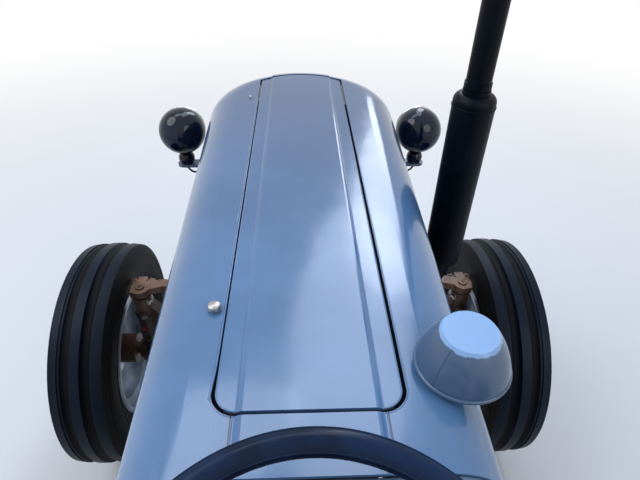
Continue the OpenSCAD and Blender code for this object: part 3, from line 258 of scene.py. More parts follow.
def heat_paint():
    """Silicone heat paint sprayed on a steel exhaust: dull deep black, browned where it is
    hottest, with a dry grain of 1.5 mm."""
    made, tree, place = blank("heat_resistant_paint_on_exhaust")
    cloud = add(tree, "TexNoise", Vector=place, Scale=1000 / 55, Detail=5.0, Roughness=0.65)[0]
    scorch = add(tree, "MapRange", Value=cloud, From_Min=0.52, From_Max=0.72)[0]
    colour = add(tree, "MixRGB", Fac=scorch, Color1=tint("#020812"), Color2=tint("#081220"))[0]
    # soot and rust start low on the pipe, where it leaves the manifold
    height = add(tree, "SeparateXYZ", Vector=place)[2]
    hot = add(tree, "MapRange", Value=height, From_Min=0.78, From_Max=0.90, To_Min=0.55,
              To_Max=0.0)[0]
    rust = add(tree, "Math", {"operation": "MULTIPLY"}, i0=scorch, i1=hot)[0]
    colour = add(tree, "MixRGB", Fac=rust, Color1=colour, Color2=tint("#4a2a1a"))[0]
    dry = add(tree, "MapRange", Value=cloud, To_Min=0.34, To_Max=0.52)[0]
    grain = add(tree, "TexNoise", Vector=place, Scale=1000 / 1.5, Detail=2.0)[0]
    skin = add(tree, "Bump", Height=grain, Distance=0.0002, Strength=0.3)[0]
    shader = add(tree, "BsdfPrincipled", Base_Color=colour, Roughness=dry, Normal=skin,
                 Specular_IOR_Level=0.1)[0]
    add(tree, "OutputMaterial", Surface=shader)
    return made


def tyre_rubber(name, hub_x, hub_z, tread, face):
    """Vulcanised natural rubber: blue-black, satin where the road polishes the ribs, which carry a
    painted sheen; dull with dust on the wall, with fine mould rings drawn 6 mm apart so that they
    show."""
    made, tree, place = blank(name)
    radius = from_hub(tree, place, hub_x, hub_z)
    painted_sheen = add(tree, "MapRange", Value=radius, From_Min=(tread - 14) / 1000,
               From_Max=(tread - 3) / 1000)[0]
    cloud = add(tree, "TexNoise", Vector=place, Scale=1000 / 40, Detail=5.0, Roughness=0.6)[0]
    dust = add(tree, "MapRange", Value=cloud, From_Min=0.45, From_Max=0.75, To_Max=0.5)[0]
    colour = add(tree, "MixRGB", Fac=dust, Color1=tint("#010306"), Color2=tint("#0b0f15"))[0]
    # painted sheen: the ribs are painted the lighter colour face; the lower roughness there is the
    # road's real polish
    colour = add(tree, "MixRGB", Fac=painted_sheen, Color1=colour, Color2=tint(face))[0]
    gloss = add(tree, "MapRange", Value=painted_sheen, To_Min=0.62, To_Max=0.44)[0]
    rings = add(tree, "Math", {"operation": "MULTIPLY"}, i0=radius, i1=TURN * 1000 / 6)[0]
    rings = add(tree, "Math", {"operation": "SINE"}, i0=rings)[0]
    mould = add(tree, "Bump", Height=rings, Distance=0.0002, Strength=0.25)[0]
    grain = add(tree, "TexNoise", Vector=place, Scale=1000 / 2.5, Detail=3.0)[0]
    skin = add(tree, "Bump", Height=grain, Distance=0.0003, Strength=0.3, Normal=mould)[0]
    shader = add(tree, "BsdfPrincipled", Base_Color=colour, Roughness=gloss, Normal=skin,
                 Specular_IOR_Level=0.12)[0]
    add(tree, "OutputMaterial", Surface=shader)
    return made


def silver_enamel(name, hub_x, hub_z, hub_r, inner_y):
    """Aluminium paint sprayed on a pressed wheel: soft metallic grey with brake dust and rust
    freckles. The hub inboard of the disc is in the bronze of the axle."""
    made, tree, place = blank(name)
    cloud = add(tree, "TexNoise", Vector=place, Scale=1000 / 60, Detail=5.0, Roughness=0.6)[0]
    tone = add(tree, "MapRange", Value=cloud, From_Min=0.3, From_Max=0.7)[0]
    colour = add(tree, "MixRGB", Fac=tone, Color1=tint("#6f7985"), Color2=tint("#a2acb7"))[0]
    freckle = add(tree, "TexNoise", Vector=place, Scale=1000 / 7, Detail=4.0, Roughness=0.7)[0]
    rust = add(tree, "MapRange", Value=freckle, From_Min=0.64, From_Max=0.72, To_Max=0.7)[0]
    colour = add(tree, "MixRGB", Fac=rust, Color1=colour, Color2=tint("#6b3c22"))[0]
    radius = from_hub(tree, place, hub_x, hub_z)
    side = add(tree, "SeparateXYZ", Vector=place)[1]
    side = add(tree, "Math", {"operation": "ABSOLUTE"}, i0=side)[0]
    near = add(tree, "Math", {"operation": "LESS_THAN"}, i0=radius, i1=hub_r / 1000)[0]
    within = add(tree, "Math", {"operation": "LESS_THAN"}, i0=side, i1=inner_y / 1000)[0]
    hub = add(tree, "Math", {"operation": "MULTIPLY"}, i0=near, i1=within)[0]
    colour = add(tree, "MixRGB", Fac=hub, Color1=colour, Color2=tint("#4a2f1f"))[0]
    shine = add(tree, "MapRange", Value=hub, To_Min=0.55, To_Max=0.0)[0]
    fleck = add(tree, "TexNoise", Vector=place, Scale=1000 / 1.2, Detail=2.0)[0]
    skin = add(tree, "Bump", Height=fleck, Distance=0.0001, Strength=0.3)[0]
    shader = add(tree, "BsdfPrincipled", Base_Color=colour, Metallic=shine, Roughness=0.38,
                 Normal=skin)[0]
    add(tree, "OutputMaterial", Surface=shader)
    return made


def turned_steel(name, bright, dull, rough):
    """Steel turned on a lathe and left bare: bright, with a thin oil film and brown spots."""
    made, tree, place = blank(name)
    cloud = add(tree, "TexNoise", Vector=place, Scale=1000 / 25, Detail=5.0, Roughness=0.65)[0]
    tone = add(tree, "MapRange", Value=cloud, From_Min=0.42, From_Max=0.7)[0]
    colour = add(tree, "MixRGB", Fac=tone, Color1=tint(bright), Color2=tint(dull))[0]
    gloss = add(tree, "MapRange", Value=tone, To_Min=rough, To_Max=rough + 0.2)[0]
    # tool marks are 0.2 mm apart and drawn at 1.2 mm
    cut = add(tree, "TexNoise", Vector=place, Scale=1000 / 1.2, Detail=2.0)[0]
    skin = add(tree, "Bump", Height=cut, Distance=0.0001, Strength=0.25)[0]
    shader = add(tree, "BsdfPrincipled", Base_Color=colour, Metallic=1.0, Roughness=gloss,
                 Normal=skin)[0]
    add(tree, "OutputMaterial", Surface=shader)
    return made


def rusted_iron():
    """Grey cast iron burnt bare by the exhaust: dark scale with orange rust in patches."""
    made, tree, place = blank("rusted_cast_iron_manifold")
    cloud = add(tree, "TexNoise", Vector=place, Scale=1000 / 30, Detail=6.0, Roughness=0.7)[0]
    tone = add(tree, "MapRange", Value=cloud, From_Min=0.4, From_Max=0.65)[0]
    colour = add(tree, "MixRGB", Fac=tone, Color1=tint("#2b2422"), Color2=tint("#6d3c22"))[0]
    grit = add(tree, "TexNoise", Vector=place, Scale=1000 / 3, Detail=4.0, Roughness=0.7)[0]
    skin = add(tree, "Bump", Height=grit, Distance=0.0008, Strength=0.6)[0]
    shader = add(tree, "BsdfPrincipled", Base_Color=colour, Roughness=0.82, Normal=skin)[0]
    add(tree, "OutputMaterial", Surface=shader)
    return made


def radiator_core(name, top):
    """Soldered brass core under thin black paint: flat tubes with fins 3 mm apart, drawn at 8 mm
    so that they show, with painted shade in the gaps between them. Above the height top, in
    metres, it is the dull black tank."""
    made, tree, place = blank(name)
    axes = add(tree, "SeparateXYZ", Vector=place)
    rows = add(tree, "Math", {"operation": "MULTIPLY"}, i0=axes[2], i1=TURN * 1000 / 8)[0]
    rows = add(tree, "Math", {"operation": "SINE"}, i0=rows)[0]
    tubes = add(tree, "Math", {"operation": "MULTIPLY"}, i0=axes[1], i1=TURN * 1000 / 16)[0]
    tubes = add(tree, "Math", {"operation": "SINE"}, i0=tubes)[0]
    mesh = add(tree, "Math", {"operation": "MAXIMUM"}, i0=rows, i1=tubes)[0]
    core = add(tree, "Math", {"operation": "LESS_THAN"}, i0=axes[2], i1=top)[0]
    # painted shade: the gaps between tubes and fins are painted near black, as the shade inside the
    # core
    bars = add(tree, "MapRange", Value=mesh, From_Min=0.2, From_Max=0.9)[0]
    bars = add(tree, "Math", {"operation": "MULTIPLY"}, i0=bars, i1=core)[0]
    colour = add(tree, "MixRGB", Fac=bars, Color1=tint("#0a0b0d"), Color2=tint("#2b2a27"))[0]
    skin = add(tree, "Bump", Height=bars, Distance=0.002, Strength=0.6)[0]
    shader = add(tree, "BsdfPrincipled", Base_Color=colour, Roughness=0.5, Normal=skin)[0]
    add(tree, "OutputMaterial", Surface=shader)
    return made


def moulded_black(name, rough, paint="#0a1c33"):
    """Hard black plastic or ebonite moulded over a steel core: smooth and half glossy from hands,
    with fine scratches."""
    made, tree, place = blank(name)
    rub = add(tree, "TexNoise", Vector=place, Scale=1000 / 50, Detail=5.0, Roughness=0.6)[0]
    gloss = add(tree, "MapRange", Value=rub, From_Min=0.3, From_Max=0.7, To_Min=rough,
                To_Max=rough + 0.16)[0]
    tone = add(tree, "MapRange", Value=rub, From_Min=0.4, From_Max=0.7)[0]
    colour = add(tree, "MixRGB", Fac=tone, Color1=tint(paint), Color2=tint("#12294a"))[0]
    line = add(tree, "Mapping", Vector=place, Scale=(60, 900, 60))[0]
    scratch = add(tree, "TexNoise", Vector=line, Scale=1.0, Detail=3.0)[0]
    skin = add(tree, "Bump", Height=scratch, Distance=0.00008, Strength=0.3)[0]
    shader = add(tree, "BsdfPrincipled", Base_Color=colour, Roughness=gloss, Normal=skin,
                 Specular_IOR_Level=0.14)[0]
    add(tree, "OutputMaterial", Surface=shader)
    return made


def plain_finish(name, code, metallic, rough, grain_mm, deep, **more):
    """Small fittings, each of one metal, glass, plastic or glazed clay, and a matt black sheet of
    painted shade: an even tone that the grain of its making breaks up a little."""
    made, tree, place = blank(name)
    cloud = add(tree, "TexNoise", Vector=place, Scale=1000 / grain_mm, Detail=3.0)[0]
    tone = add(tree, "MapRange", Value=cloud, From_Min=0.35, From_Max=0.7)[0]
    colour = add(tree, "MixRGB", Fac=tone, Color1=tint(code), Color2=tint(deep))[0]
    skin = add(tree, "Bump", Height=cloud, Distance=0.00008, Strength=0.2)[0]
    shader = add(tree, "BsdfPrincipled", Base_Color=colour, Metallic=metallic, Roughness=rough,
                 Normal=skin, **more)[0]
    add(tree, "OutputMaterial", Surface=shader)
    return made


HOOD_GREY = brushed_enamel("grey_enamel_brushed_on_hood", "#597fab", "#4c7099", gutter_shade_and_grime=True)
PANEL_GREY = brushed_enamel("grey_enamel_brushed_on_panel", "#597fab", "#4c7099")
SHEET_GREY = brushed_enamel("grey_enamel_on_pressed_sheet", "#65829f", "#587594", 0.22)
# the cap's flat top, above 1.2925 m, is lightened by a painted reflection
CONE_GREY = brushed_enamel("grey_enamel_on_spun_cap", "#4f6a88", "#435c79", 0.26, 1.2925)
CASTING = painted_casting("bronze_enamel_on_cast_iron", "#9c7860", "#735343", "#150e0a")
LAMP_BLACK = stoved_black("black_enamel_on_spun_lamp", plate=0.9561)
SHEET_BLACK = stoved_black("black_enamel_on_steel_spring")
HEAT_BLACK = heat_paint()
FRONT_RUBBER = tyre_rubber("ribbed_front_tyre_rubber", FA, FRONT_Z, FRONT_R, "#091828")
REAR_RUBBER = tyre_rubber("lugged_rear_tyre_rubber", RA, REAR_Z, REAR_R, "#0b121c")
FRONT_SILVER = silver_enamel("silver_enamel_on_front_wheel", FA, FRONT_Z, 60, FRONT_Y + 25)
REAR_SILVER = silver_enamel("silver_enamel_on_rear_wheel", RA, REAR_Z, 70, REAR_Y - 200)
PLAIN_SILVER = turned_steel("silver_enamel_on_fan_and_grille", "#9aa1a8", "#737a82", 0.36)
STEEL = turned_steel("turned_bare_steel", "#a8a9aa", "#6c5a4c", 0.28)
ZINC = turned_steel("zinc_plated_steel_bolts", "#c3c8cc", "#8d9196", 0.22)
IRON = rusted_iron()
CORE = radiator_core("soldered_radiator_core", 1.086)
WHEEL_BLACK = moulded_black("ebonite_moulded_on_steering_wheel", 0.20)
PLASTIC = moulded_black("moulded_black_plastic", 0.35)
LEAD = moulded_black("rubber_sheath_of_lamp_lead", 0.5, "#080a0d")
BELT = moulded_black("cord_and_rubber_fan_belt", 0.6, "#0b0b0c")
CHROME = plain_finish("chromium_plated_brass", "#d9dde0", 1.0, 0.07, 30, "#c4c9cd")
BRASS = plain_finish("turned_brass", "#b89a54", 1.0, 0.3, 12, "#8e713a")
MIRROR = plain_finish("silvered_reflector", "#e6e8ea", 1.0, 0.09, 40, "#d2d5d8")
PORCELAIN = plain_finish("glazed_porcelain", "#e8e4da", 0.0, 0.18, 20, "#d8d2c4")
# painted shade: a near-black matt sheet that stands for the shade in the gap round the panel
GAP_SHADE_BLACK = plain_finish("black_sheet_for_gap_shade", "#030406", 0.0, 1.0, 4, "#07080a",
                    Specular_IOR_Level=0.05)
RED_CAP = plain_finish("moulded_red_polythene", "#c01822", 0.0, 0.3, 8, "#9c1019")
GLASS = plain_finish("pressed_lamp_glass", "#f4f8fb", 0.0, 0.04, 18, "#e9eff4",
                     Transmission_Weight=0.92, IOR=1.5)

FINISH = {"grey_paint": SHEET_GREY, "bronze_paint": CASTING, "black_paint": SHEET_BLACK,
          "silver_paint": PLAIN_SILVER, "bare_iron": IRON, "bare_steel": STEEL,
          "black_plastic": PLASTIC, "tyre_rubber": REAR_RUBBER, "lead_rubber": LEAD}
OWN = {"hood": HOOD_GREY, "hood_panel": PANEL_GREY, "precleaner": CONE_GREY, "exhaust": HEAT_BLACK,
       "headlamp_left": LAMP_BLACK, "headlamp_right": LAMP_BLACK, "radiator": CORE,
       "front_tyre_left": FRONT_RUBBER, "front_tyre_right": FRONT_RUBBER,
       "front_wheel_left": FRONT_SILVER, "front_wheel_right": FRONT_SILVER,
       "rear_wheel_left": REAR_SILVER, "rear_wheel_right": REAR_SILVER,
       "steering_wheel": WHEEL_BLACK}
# a node takes the finish of its slot, unless it has one of its own
for part in frame["record"]["subparts"]:
    mesh = nodes[part["node"]].data
    mesh.materials.clear()
    mesh.materials.append(OWN.get(part["node"], FINISH[part["material_slot"]]))

# shapes


def enter(obj, body):
    """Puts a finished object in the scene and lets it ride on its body."""
    bpy.context.scene.collection.objects.link(obj)
    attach(obj, body)


def piece(name, bm, material, body, smooth=38):
    """Closes a bmesh drawn in millimetres and makes it an object of the scene in metres."""
    bmesh.ops.remove_doubles(bm, verts=bm.verts, dist=0.01)
    bmesh.ops.recalc_face_normals(bm, faces=bm.faces)
    bmesh.ops.scale(bm, vec=(0.001, 0.001, 0.001), verts=bm.verts)
    mesh = bpy.data.meshes.new(name)
    bm.to_mesh(mesh)
    bm.free()
    mesh.shade_smooth()
    mesh.set_sharp_from_angle(angle=math.radians(smooth))
    mesh.materials.append(material)
    enter(bpy.data.objects.new(name, mesh), body)


def wire(name, points, radius, material, body, closed=False):
    """A round wire or bead along a path in millimetres."""
    data = bpy.data.curves.new(name, "CURVE")
    data.dimensions = "3D"
    data.bevel_depth = radius / 1000
    data.bevel_resolution = 3
    data.use_fill_caps = True
    line = data.splines.new("POLY")
    line.points.add(len(points) - 1)
    for point, at in zip(line.points, points):
        point.co = tuple(v / 1000 for v in at) + (1,)
    line.use_cyclic_u = closed
    line.use_smooth = True
    data.materials.append(material)
    enter(bpy.data.objects.new(name, data), body)


def along(start, direction):
    """A frame at start whose Z runs along direction."""
    turn = Vector(direction).to_track_quat("Z", "Y").to_matrix().to_4x4()
    return Matrix.Translation(start) @ turn


def turned(bm, outline, place, steps=40, closed=False):
    """Spins an outline of (radius, height) points about the Z of place."""
    before = set(bm.verts)
    verts = [bm.verts.new((r, 0, h)) for r, h in outline]
    pairs = list(zip(verts, verts[1:])) + ([(verts[-1], verts[0])] if closed else [])
    edges = [bm.edges.new(pair) for pair in pairs]
    bmesh.ops.spin(bm, geom=verts + edges, cent=(0, 0, 0), axis=(0, 0, 1), dvec=(0, 0, 0),
                   angle=TURN, steps=steps, use_merge=True)
    bmesh.ops.transform(bm, matrix=place, verts=[v for v in bm.verts if v not in before])


def turned_piece(name, outline, place, material, body, steps=40, closed=False):
    """A piece that is one turned outline."""
    bm = bmesh.new()
    turned(bm, outline, place, steps, closed)
    piece(name, bm, material, body)


def bar(bm, start, end, radius, sides=16, end_radius=None):
    """A round bar between two points."""
    start, end = Vector(start), Vector(end)
    bmesh.ops.create_cone(bm, cap_ends=True, segments=sides, radius1=radius,
                          radius2=radius if end_radius is None else end_radius,
                          depth=(end - start).length,
                          matrix=along((start + end) / 2, end - start))


def hexagon(bm, at, direction, across, high, washer=0.0):
    """A hexagon head on its washer, with a chamfered top."""
    at, way = Vector(at), Vector(direction).normalized()
    corner = across / math.sqrt(3)
    if washer:
        bar(bm, at - way * 0.3, at + way * 1.8, washer, 20)
        at = at + way * 1.8
    bar(bm, at, at + way * high * 0.82, corner, 6)
    bar(bm, at + way * high * 0.82, at + way * high, corner, 6, corner * 0.84)


def circle_of(count, radius, x, z):
    """Points on a circle about Y, as the bolts of the source are placed."""
    for i in range(count):
        turn = i * TURN / count
        yield x + radius * math.cos(turn), z + radius * math.sin(turn)


def on_axle(x, y, z, way):
    """A frame on the axis of a wheel or pin, whose Z runs outward on the side of way."""
    return Matrix.Translation((x, y, z)) @ along((0, 0, 0), (0, way, 0))


# hood: folded edges round the panel and its opening, seams, near-black strips of painted shade in
# the gap, button and clip


def panel_outline(grow):
    """The outline of the hood panel in the hood's own frame; grow widens it."""
    half, corner, start, nose = 114.0, 28.0, 80.0, 1056.0
    reach = 172.0 + grow * (1.6 if grow > 0 else 1)
    points = []
    for first, middle in ((math.pi / 2, half - corner), (math.pi, corner - half)):
        for step in range(9):
            turn = first + step * math.pi / 16
            points.append((start + corner + (corner + grow) * math.cos(turn),
                           middle + (corner + grow) * math.sin(turn)))
    edge = math.asin((half + grow) / reach)
    for step in range(17):
        turn = -edge + step * edge / 8
        points.append((nose + reach * math.cos(turn), reach * math.sin(turn)))
    return points


def on_hood(points, lift):
    """Points on the hood's top, lifted off it."""
    return [HOOD @ Vector((x, y, lift)) for x, y in points]


for name, grow, radius, grey, body in (
        ("panel_folded_edge", -1.1, 1.05, PANEL_GREY, "hood_panel"),
        ("opening_folded_edge", 6.4, 1.15, HOOD_GREY, "chassis")):
    wire(name, on_hood(panel_outline(grow), -0.35), radius, grey, body, True)
# the left edge is folded fuller, so the gap is narrower there
fold = on_hood([(98, 120.6), (116, 119.6), (140, 118.1), (170, 117.6), (1050, 117.6)], -0.7)
wire("opening_left_fold", fold, 1.5, HOOD_GREY, "chassis")
for side, way in SIDES:
    seam = on_hood([(x, way * 90.5) for x in (1, 72)], 0.15)
    wire("rear_strip_seam_" + side, seam, 1.0, HOOD_GREY, "chassis")
    bead = on_hood([(x, way * 87.2) for x in (84, 500, 1050, 1196)], 0.1)
    wire("panel_bead_" + side, bead, 0.8, PANEL_GREY, "hood_panel")

# painted shade: near-black strips on the ledges that the panel lies on, with a roll that fills the
# gap, stand for the shade in the gap
GAP_SHADE_FLAT = [(102.5, -2.19), (120.8, -2.19), (120.8, -2.04), (102.5, -2.04)]
GAP_SHADE_ROLL = [(115.2, -2.1), (119.8, -2.1), (119.6, -1.85), (118.8, -1.6), (117.5, -1.5),
             (116.2, -1.6), (115.4, -1.85)]
GAP_SHADE_END = 1010
for side, way in SIDES:
    bm = bmesh.new()
    for section, start in ((GAP_SHADE_FLAT, 77), (GAP_SHADE_ROLL, 114)):
        face = bm.faces.new([bm.verts.new((start, way * y, z)) for y, z in section])
        grown = bmesh.ops.extrude_face_region(bm, geom=[face])["geom"]
        bmesh.ops.translate(bm, vec=(GAP_SHADE_END - start, 0, 0),
                            verts=[v for v in grown if isinstance(v, bmesh.types.BMVert)])
    bmesh.ops.transform(bm, matrix=HOOD, verts=bm.verts)
    piece("panel_gap_shade_strip_" + side, bm, GAP_SHADE_BLACK, "chassis")

turned_piece("hood_button", [(0, 12.4), (4.6, 12.2), (8.2, 10.8), (9.4, 8.6), (9.6, 5.2), (7.8, 4),
                             (6.4, 3.2), (6.2, 0), (0, 0)],
             Matrix.Translation(HOOD @ Vector((247.6, 132.7, -0.4))), STEEL, "chassis",
             32)

bm = bmesh.new()
spot = HOOD @ Vector((1051, 138.8, 0))
bar(bm, spot + Vector((-6, 0, 3)), spot + Vector((6, 0, 3)), 2.2, 12)
bar(bm, spot + Vector((-4, 0, -0.5)), spot + Vector((-4, 0, 3)), 2.4, 12)
bar(bm, spot + Vector((4, 0, -0.5)), spot + Vector((4, 0, 5.5)), 3.2, 12)
piece("hood_clip", bm, ZINC, "chassis")

# lap seam of the pre-cleaner's cap, on a wall that bulges outward
STACK = Vector((STACK_X, STACK_Y, 1234))
BULGE_R, BULGE_IN, BULGE_LOW, PROUD = 140, 76.6, 22.8, 0.1
seam = []
for step in range(9):
    height = 9 + step * 6.6
    radius = math.sqrt(BULGE_R ** 2 - (height + BULGE_LOW) ** 2) - BULGE_IN + PROUD
    seam.append(STACK + Vector((-radius * 0.62, radius * 0.784, height)))
wire("precleaner_lap_seam", seam, 0.8, CONE_GREY, "chassis")

# lamps: rim, reflector, lens and bulb as (material, slot, steps, closed, outline)
LAMP_PARTS = {
    "rim": (CHROME, "black_paint", 64, True,
            [(64.2, 29), (65.4, 31), (65.4, 36), (63.5, 39), (59, 39.6), (56, 38.2), (56, 36.3),
             (63.2, 36.3), (63.2, 29)]),
    "reflector": (MIRROR, None, 64, False,
                  [(0, -2.6), (14, -0.9), (30, 6), (42, 15.5), (50, 26.5), (53, 35.5),
                   (52.2, 35.5), (49.2, 26.9), (41.4, 16.2), (29.6, 6.8), (14, 0.1), (0, -1.7)]),
    "lens": (GLASS, None, 64, False,
             [(0, 46), (20, 45), (38, 42), (50, 38), (55.6, 36.6), (55.6, 33.4), (49, 34.5),
              (37, 38.5), (20, 41.5), (0, 42.5)]),
    "bulb": (GLASS, None, 24, False,
             [(0, 26), (5, 24.5), (8, 20), (8, 15), (5, 10), (4.2, 6), (4.2, -0.5), (0, -0.5)])}
for side, way in SIDES:
    lamp = along((LAMP_X, way * LAMP_Y, LAMP_Z), AHEAD)
    for part, (material, slot, steps, closed, outline) in LAMP_PARTS.items():
        turned_piece("lamp_%s_%s" % (part, side), outline, lamp, material, "chassis", steps,
                     closed)
    # nut under the bracket and its clip for the lead
    bm = bmesh.new()
    hexagon(bm, (LAMP_X, way * LAMP_Y, 943.2), UP, 22, 5)
    bar(bm, (LAMP_X, way * 322, 941), (LAMP_X, way * 322, 947.4), 5.5, 16)
    piece("lamp_bracket_nut_" + side, bm, ZINC, "chassis")

# fan belt over the crank, pump and dynamo pulleys
bm = bmesh.new()
for y, z, radius in ((0, CRANK_Z, 66.5), (0, 800, 42.5), (205, 640, 32.5)):
    bar(bm, (BELT_BACK, y, z), (BELT_FRONT, y, z), radius, 48)
hull = bmesh.ops.convex_hull(bm, input=bm.verts)
inside = {v for v in hull["geom_interior"] + hull["geom_unused"]
          if isinstance(v, bmesh.types.BMVert) and v.is_valid}
bmesh.ops.delete(bm, geom=list(inside), context="VERTS")
flat = [f for f in bm.faces if abs(f.normal.x) > 0.9]
bmesh.ops.delete(bm, geom=flat, context="FACES")
bmesh.ops.remove_doubles(bm, verts=bm.verts, dist=0.01)
bmesh.ops.recalc_face_normals(bm, faces=bm.faces)
bmesh.ops.solidify(bm, geom=bm.faces, thickness=6.5)
piece("fan_belt", bm, BELT, "chassis")

# engine: clamps of the hoses, plugs, bolts, filler cap and dipstick
bm = bmesh.new()
for at, way, radius in (((FA - 248, 40, 934), UP, 24.6), ((FA - 248, 40, 946), UP, 23.4),
                        ((FA - 121, 40, 1081.5), (153, 0, 155), 22.6)):
    turned(bm, [(radius - 1.8, 0), (radius, 0.6), (radius, 8.4), (radius - 1.8, 9)],
           along(at, way), 36, True)
piece("hose_clamps", bm, ZINC, "chassis")

bm = bmesh.new()
pottery = bmesh.new()
PLUG_WAY = Vector((0, 50, 25))
for x in (FA - 715, FA - 595, FA - 430, FA - 310):
    start, way = Vector((x, 100, 880)), PLUG_WAY.normalized()
    hexagon(bm, start + way * 38, way, 23, 9, 13)
    bar(bm, start + way * 66, start + way * 72, 3.2, 12)
    turned(pottery, [(6.2, 50), (8.4, 50.4), (8.4, 53), (7.2, 54), (8.2, 56), (7.2, 58), (8, 60),
                     (7, 62), (6.6, 67.5), (6.2, 67.5)], along(start, PLUG_WAY), 20, True)
piece("spark_plug_nuts", bm, ZINC, "chassis")
piece("spark_plug_insulators", pottery, PORCELAIN, "chassis")

bm = bmesh.new()
for x in (FA - 640, FA - 380):
    hexagon(bm, (x, 0, 984.5), UP, 19, 9, 14)
for i in range(7):
    for way in (1, -1):
        hexagon(bm, (FA - 770 + i * 82, way * 96, 921.5), UP, 17, 8, 11)
for i in range(9):
    turn = math.radians(i * 40 + 20)
    y, z = 82 * math.cos(turn), CRANK_Z + 82 * math.sin(turn)
    if z < 600 or abs(y) > 72:
        hexagon(bm, (FA - 151, y, z), AHEAD, 13, 6)
for x in (FA - 780, FA - 640, FA - 500, FA - 360, FA - 250):
    for way in (1, -1):
        hexagon(bm, (x, way * 144, 419), DOWN, 13, 6)
piece("engine_bolts", bm, STEEL, "chassis")

turned_piece("oil_filler_cap", [(0, 1018), (14, 1017.4), (24, 1015), (25.5, 1011), (25.5, 1004),
                                (23.5, 1003), (22.3, 1003), (22.3, 1009), (0, 1009.6)],
             Matrix.Translation((FA - 700, 0, 0)), STEEL, "chassis", 32)
turned_piece("dipstick_ring", [(9, -2.2), (11.2, 0), (9, 2.2), (6.8, 0)],
             along((FA - 760, 148, 709), AHEAD), ZINC, "chassis", 24, True)

# bands that hold the air cleaner, and the cap of the fuel tank
bm = bmesh.new()
for height in (704, 902):
    turned(bm, [(49.2, height), (50.6, height + 0.6), (50.6, height + 17.4), (49.2, height + 18)],
           Matrix.Translation((STACK_X, STACK_Y, 0)), 40, True)
    hexagon(bm, (STACK_X, STACK_Y - 50.4, height + 9), (0, -1, 0), 13, 7)
piece("air_cleaner_bands", bm, ZINC, "chassis")

turned_piece("fuel_cap", [(0, 1196), (20, 1195.4), (40, 1193.6), (43.4, 1190), (43.4, 1180.5),
                          (42.2, 1180.5), (42.2, 1192.2), (0, 1192.4)],
             Matrix.Translation((FA - 420, 0, 0)), CHROME, "chassis")

# drain tap of the radiator
bm = bmesh.new()
bar(bm, (FA - 60, 150, 600.2), (FA - 60, 150, 582), 6, 16)
bar(bm, (FA - 74, 150, 590), (FA - 46, 150, 590), 3.4, 12)
hexagon(bm, (FA - 60, 150, 601), DOWN, 17, 6)
piece("radiator_drain_tap", bm, BRASS, "chassis")

# clamps of the exhaust and the seam ring of its muffler
bm = bmesh.new()
exhaust = Matrix.Translation((EX_X, EX_Y, 0))
PIPE_R, CLAMP_Z = 28.2, 1348 + 11
for height in (1352, 858):
    turned(bm, [(PIPE_R - 0.6, height), (PIPE_R + 1.6, height + 0.8),
                (PIPE_R + 1.6, height + 13.2), (PIPE_R - 0.6, height + 14)], exhaust, 40, True)
turned(bm, [(47.2, 1309.5), (48.9, 1310.6), (48.9, 1313.4), (47.2, 1314.5)], exhaust, 64, True)
bar(bm, (EX_X - 33, EX_Y, CLAMP_Z), (EX_X - 28, EX_Y, CLAMP_Z), 5, 12)
piece("exhaust_clamps", bm, HEAT_BLACK, "chassis")

# wheels: nuts, caps, valves and the rings of the tyre walls


def valve(end, side, start, stem, tip, radii, rubber):
    """The rubber stem of a tyre's valve, and its brass cap between stem and tip."""
    body = "%s_wheel_%s" % (end, side)
    bm = bmesh.new()
    bar(bm, start, start + Vector(stem), radii[0], 12, radii[1])
    piece("%s_valve_%s" % (end, side), bm, rubber, body)
    bm = bmesh.new()
    bar(bm, start + Vector(stem), start + Vector(tip), radii[2], 12)
    piece("%s_valve_cap_%s" % (end, side), bm, BRASS, body)


def wall_rings(end, side, way, hub, wall, rings, rubber):
    """Rings on both walls of a tyre. wall is its half width, the radius where it is widest and
    the radii of the walls' arcs above and below that; rings are (radius, height) pairs."""
    half, widest, upper, lower = wall
    for face in (1, -1):
        bm = bmesh.new()
        for radius, thick in rings:
            bend = upper if radius > widest else lower
            out = half - bend + math.sqrt(bend ** 2 - (radius - widest) ** 2)
            turned(bm, [(radius - thick * 1.6, out - 0.8), (radius, out + thick),
                        (radius + thick * 1.6, out - 0.8)], on_axle(*hub, way * face), 96, True)
        piece("%s_tyre_rings_%s_%s" % (end, side, "out" if face > 0 else "in"), bm, rubber,
              "%s_wheel_%s" % (end, side), 80)


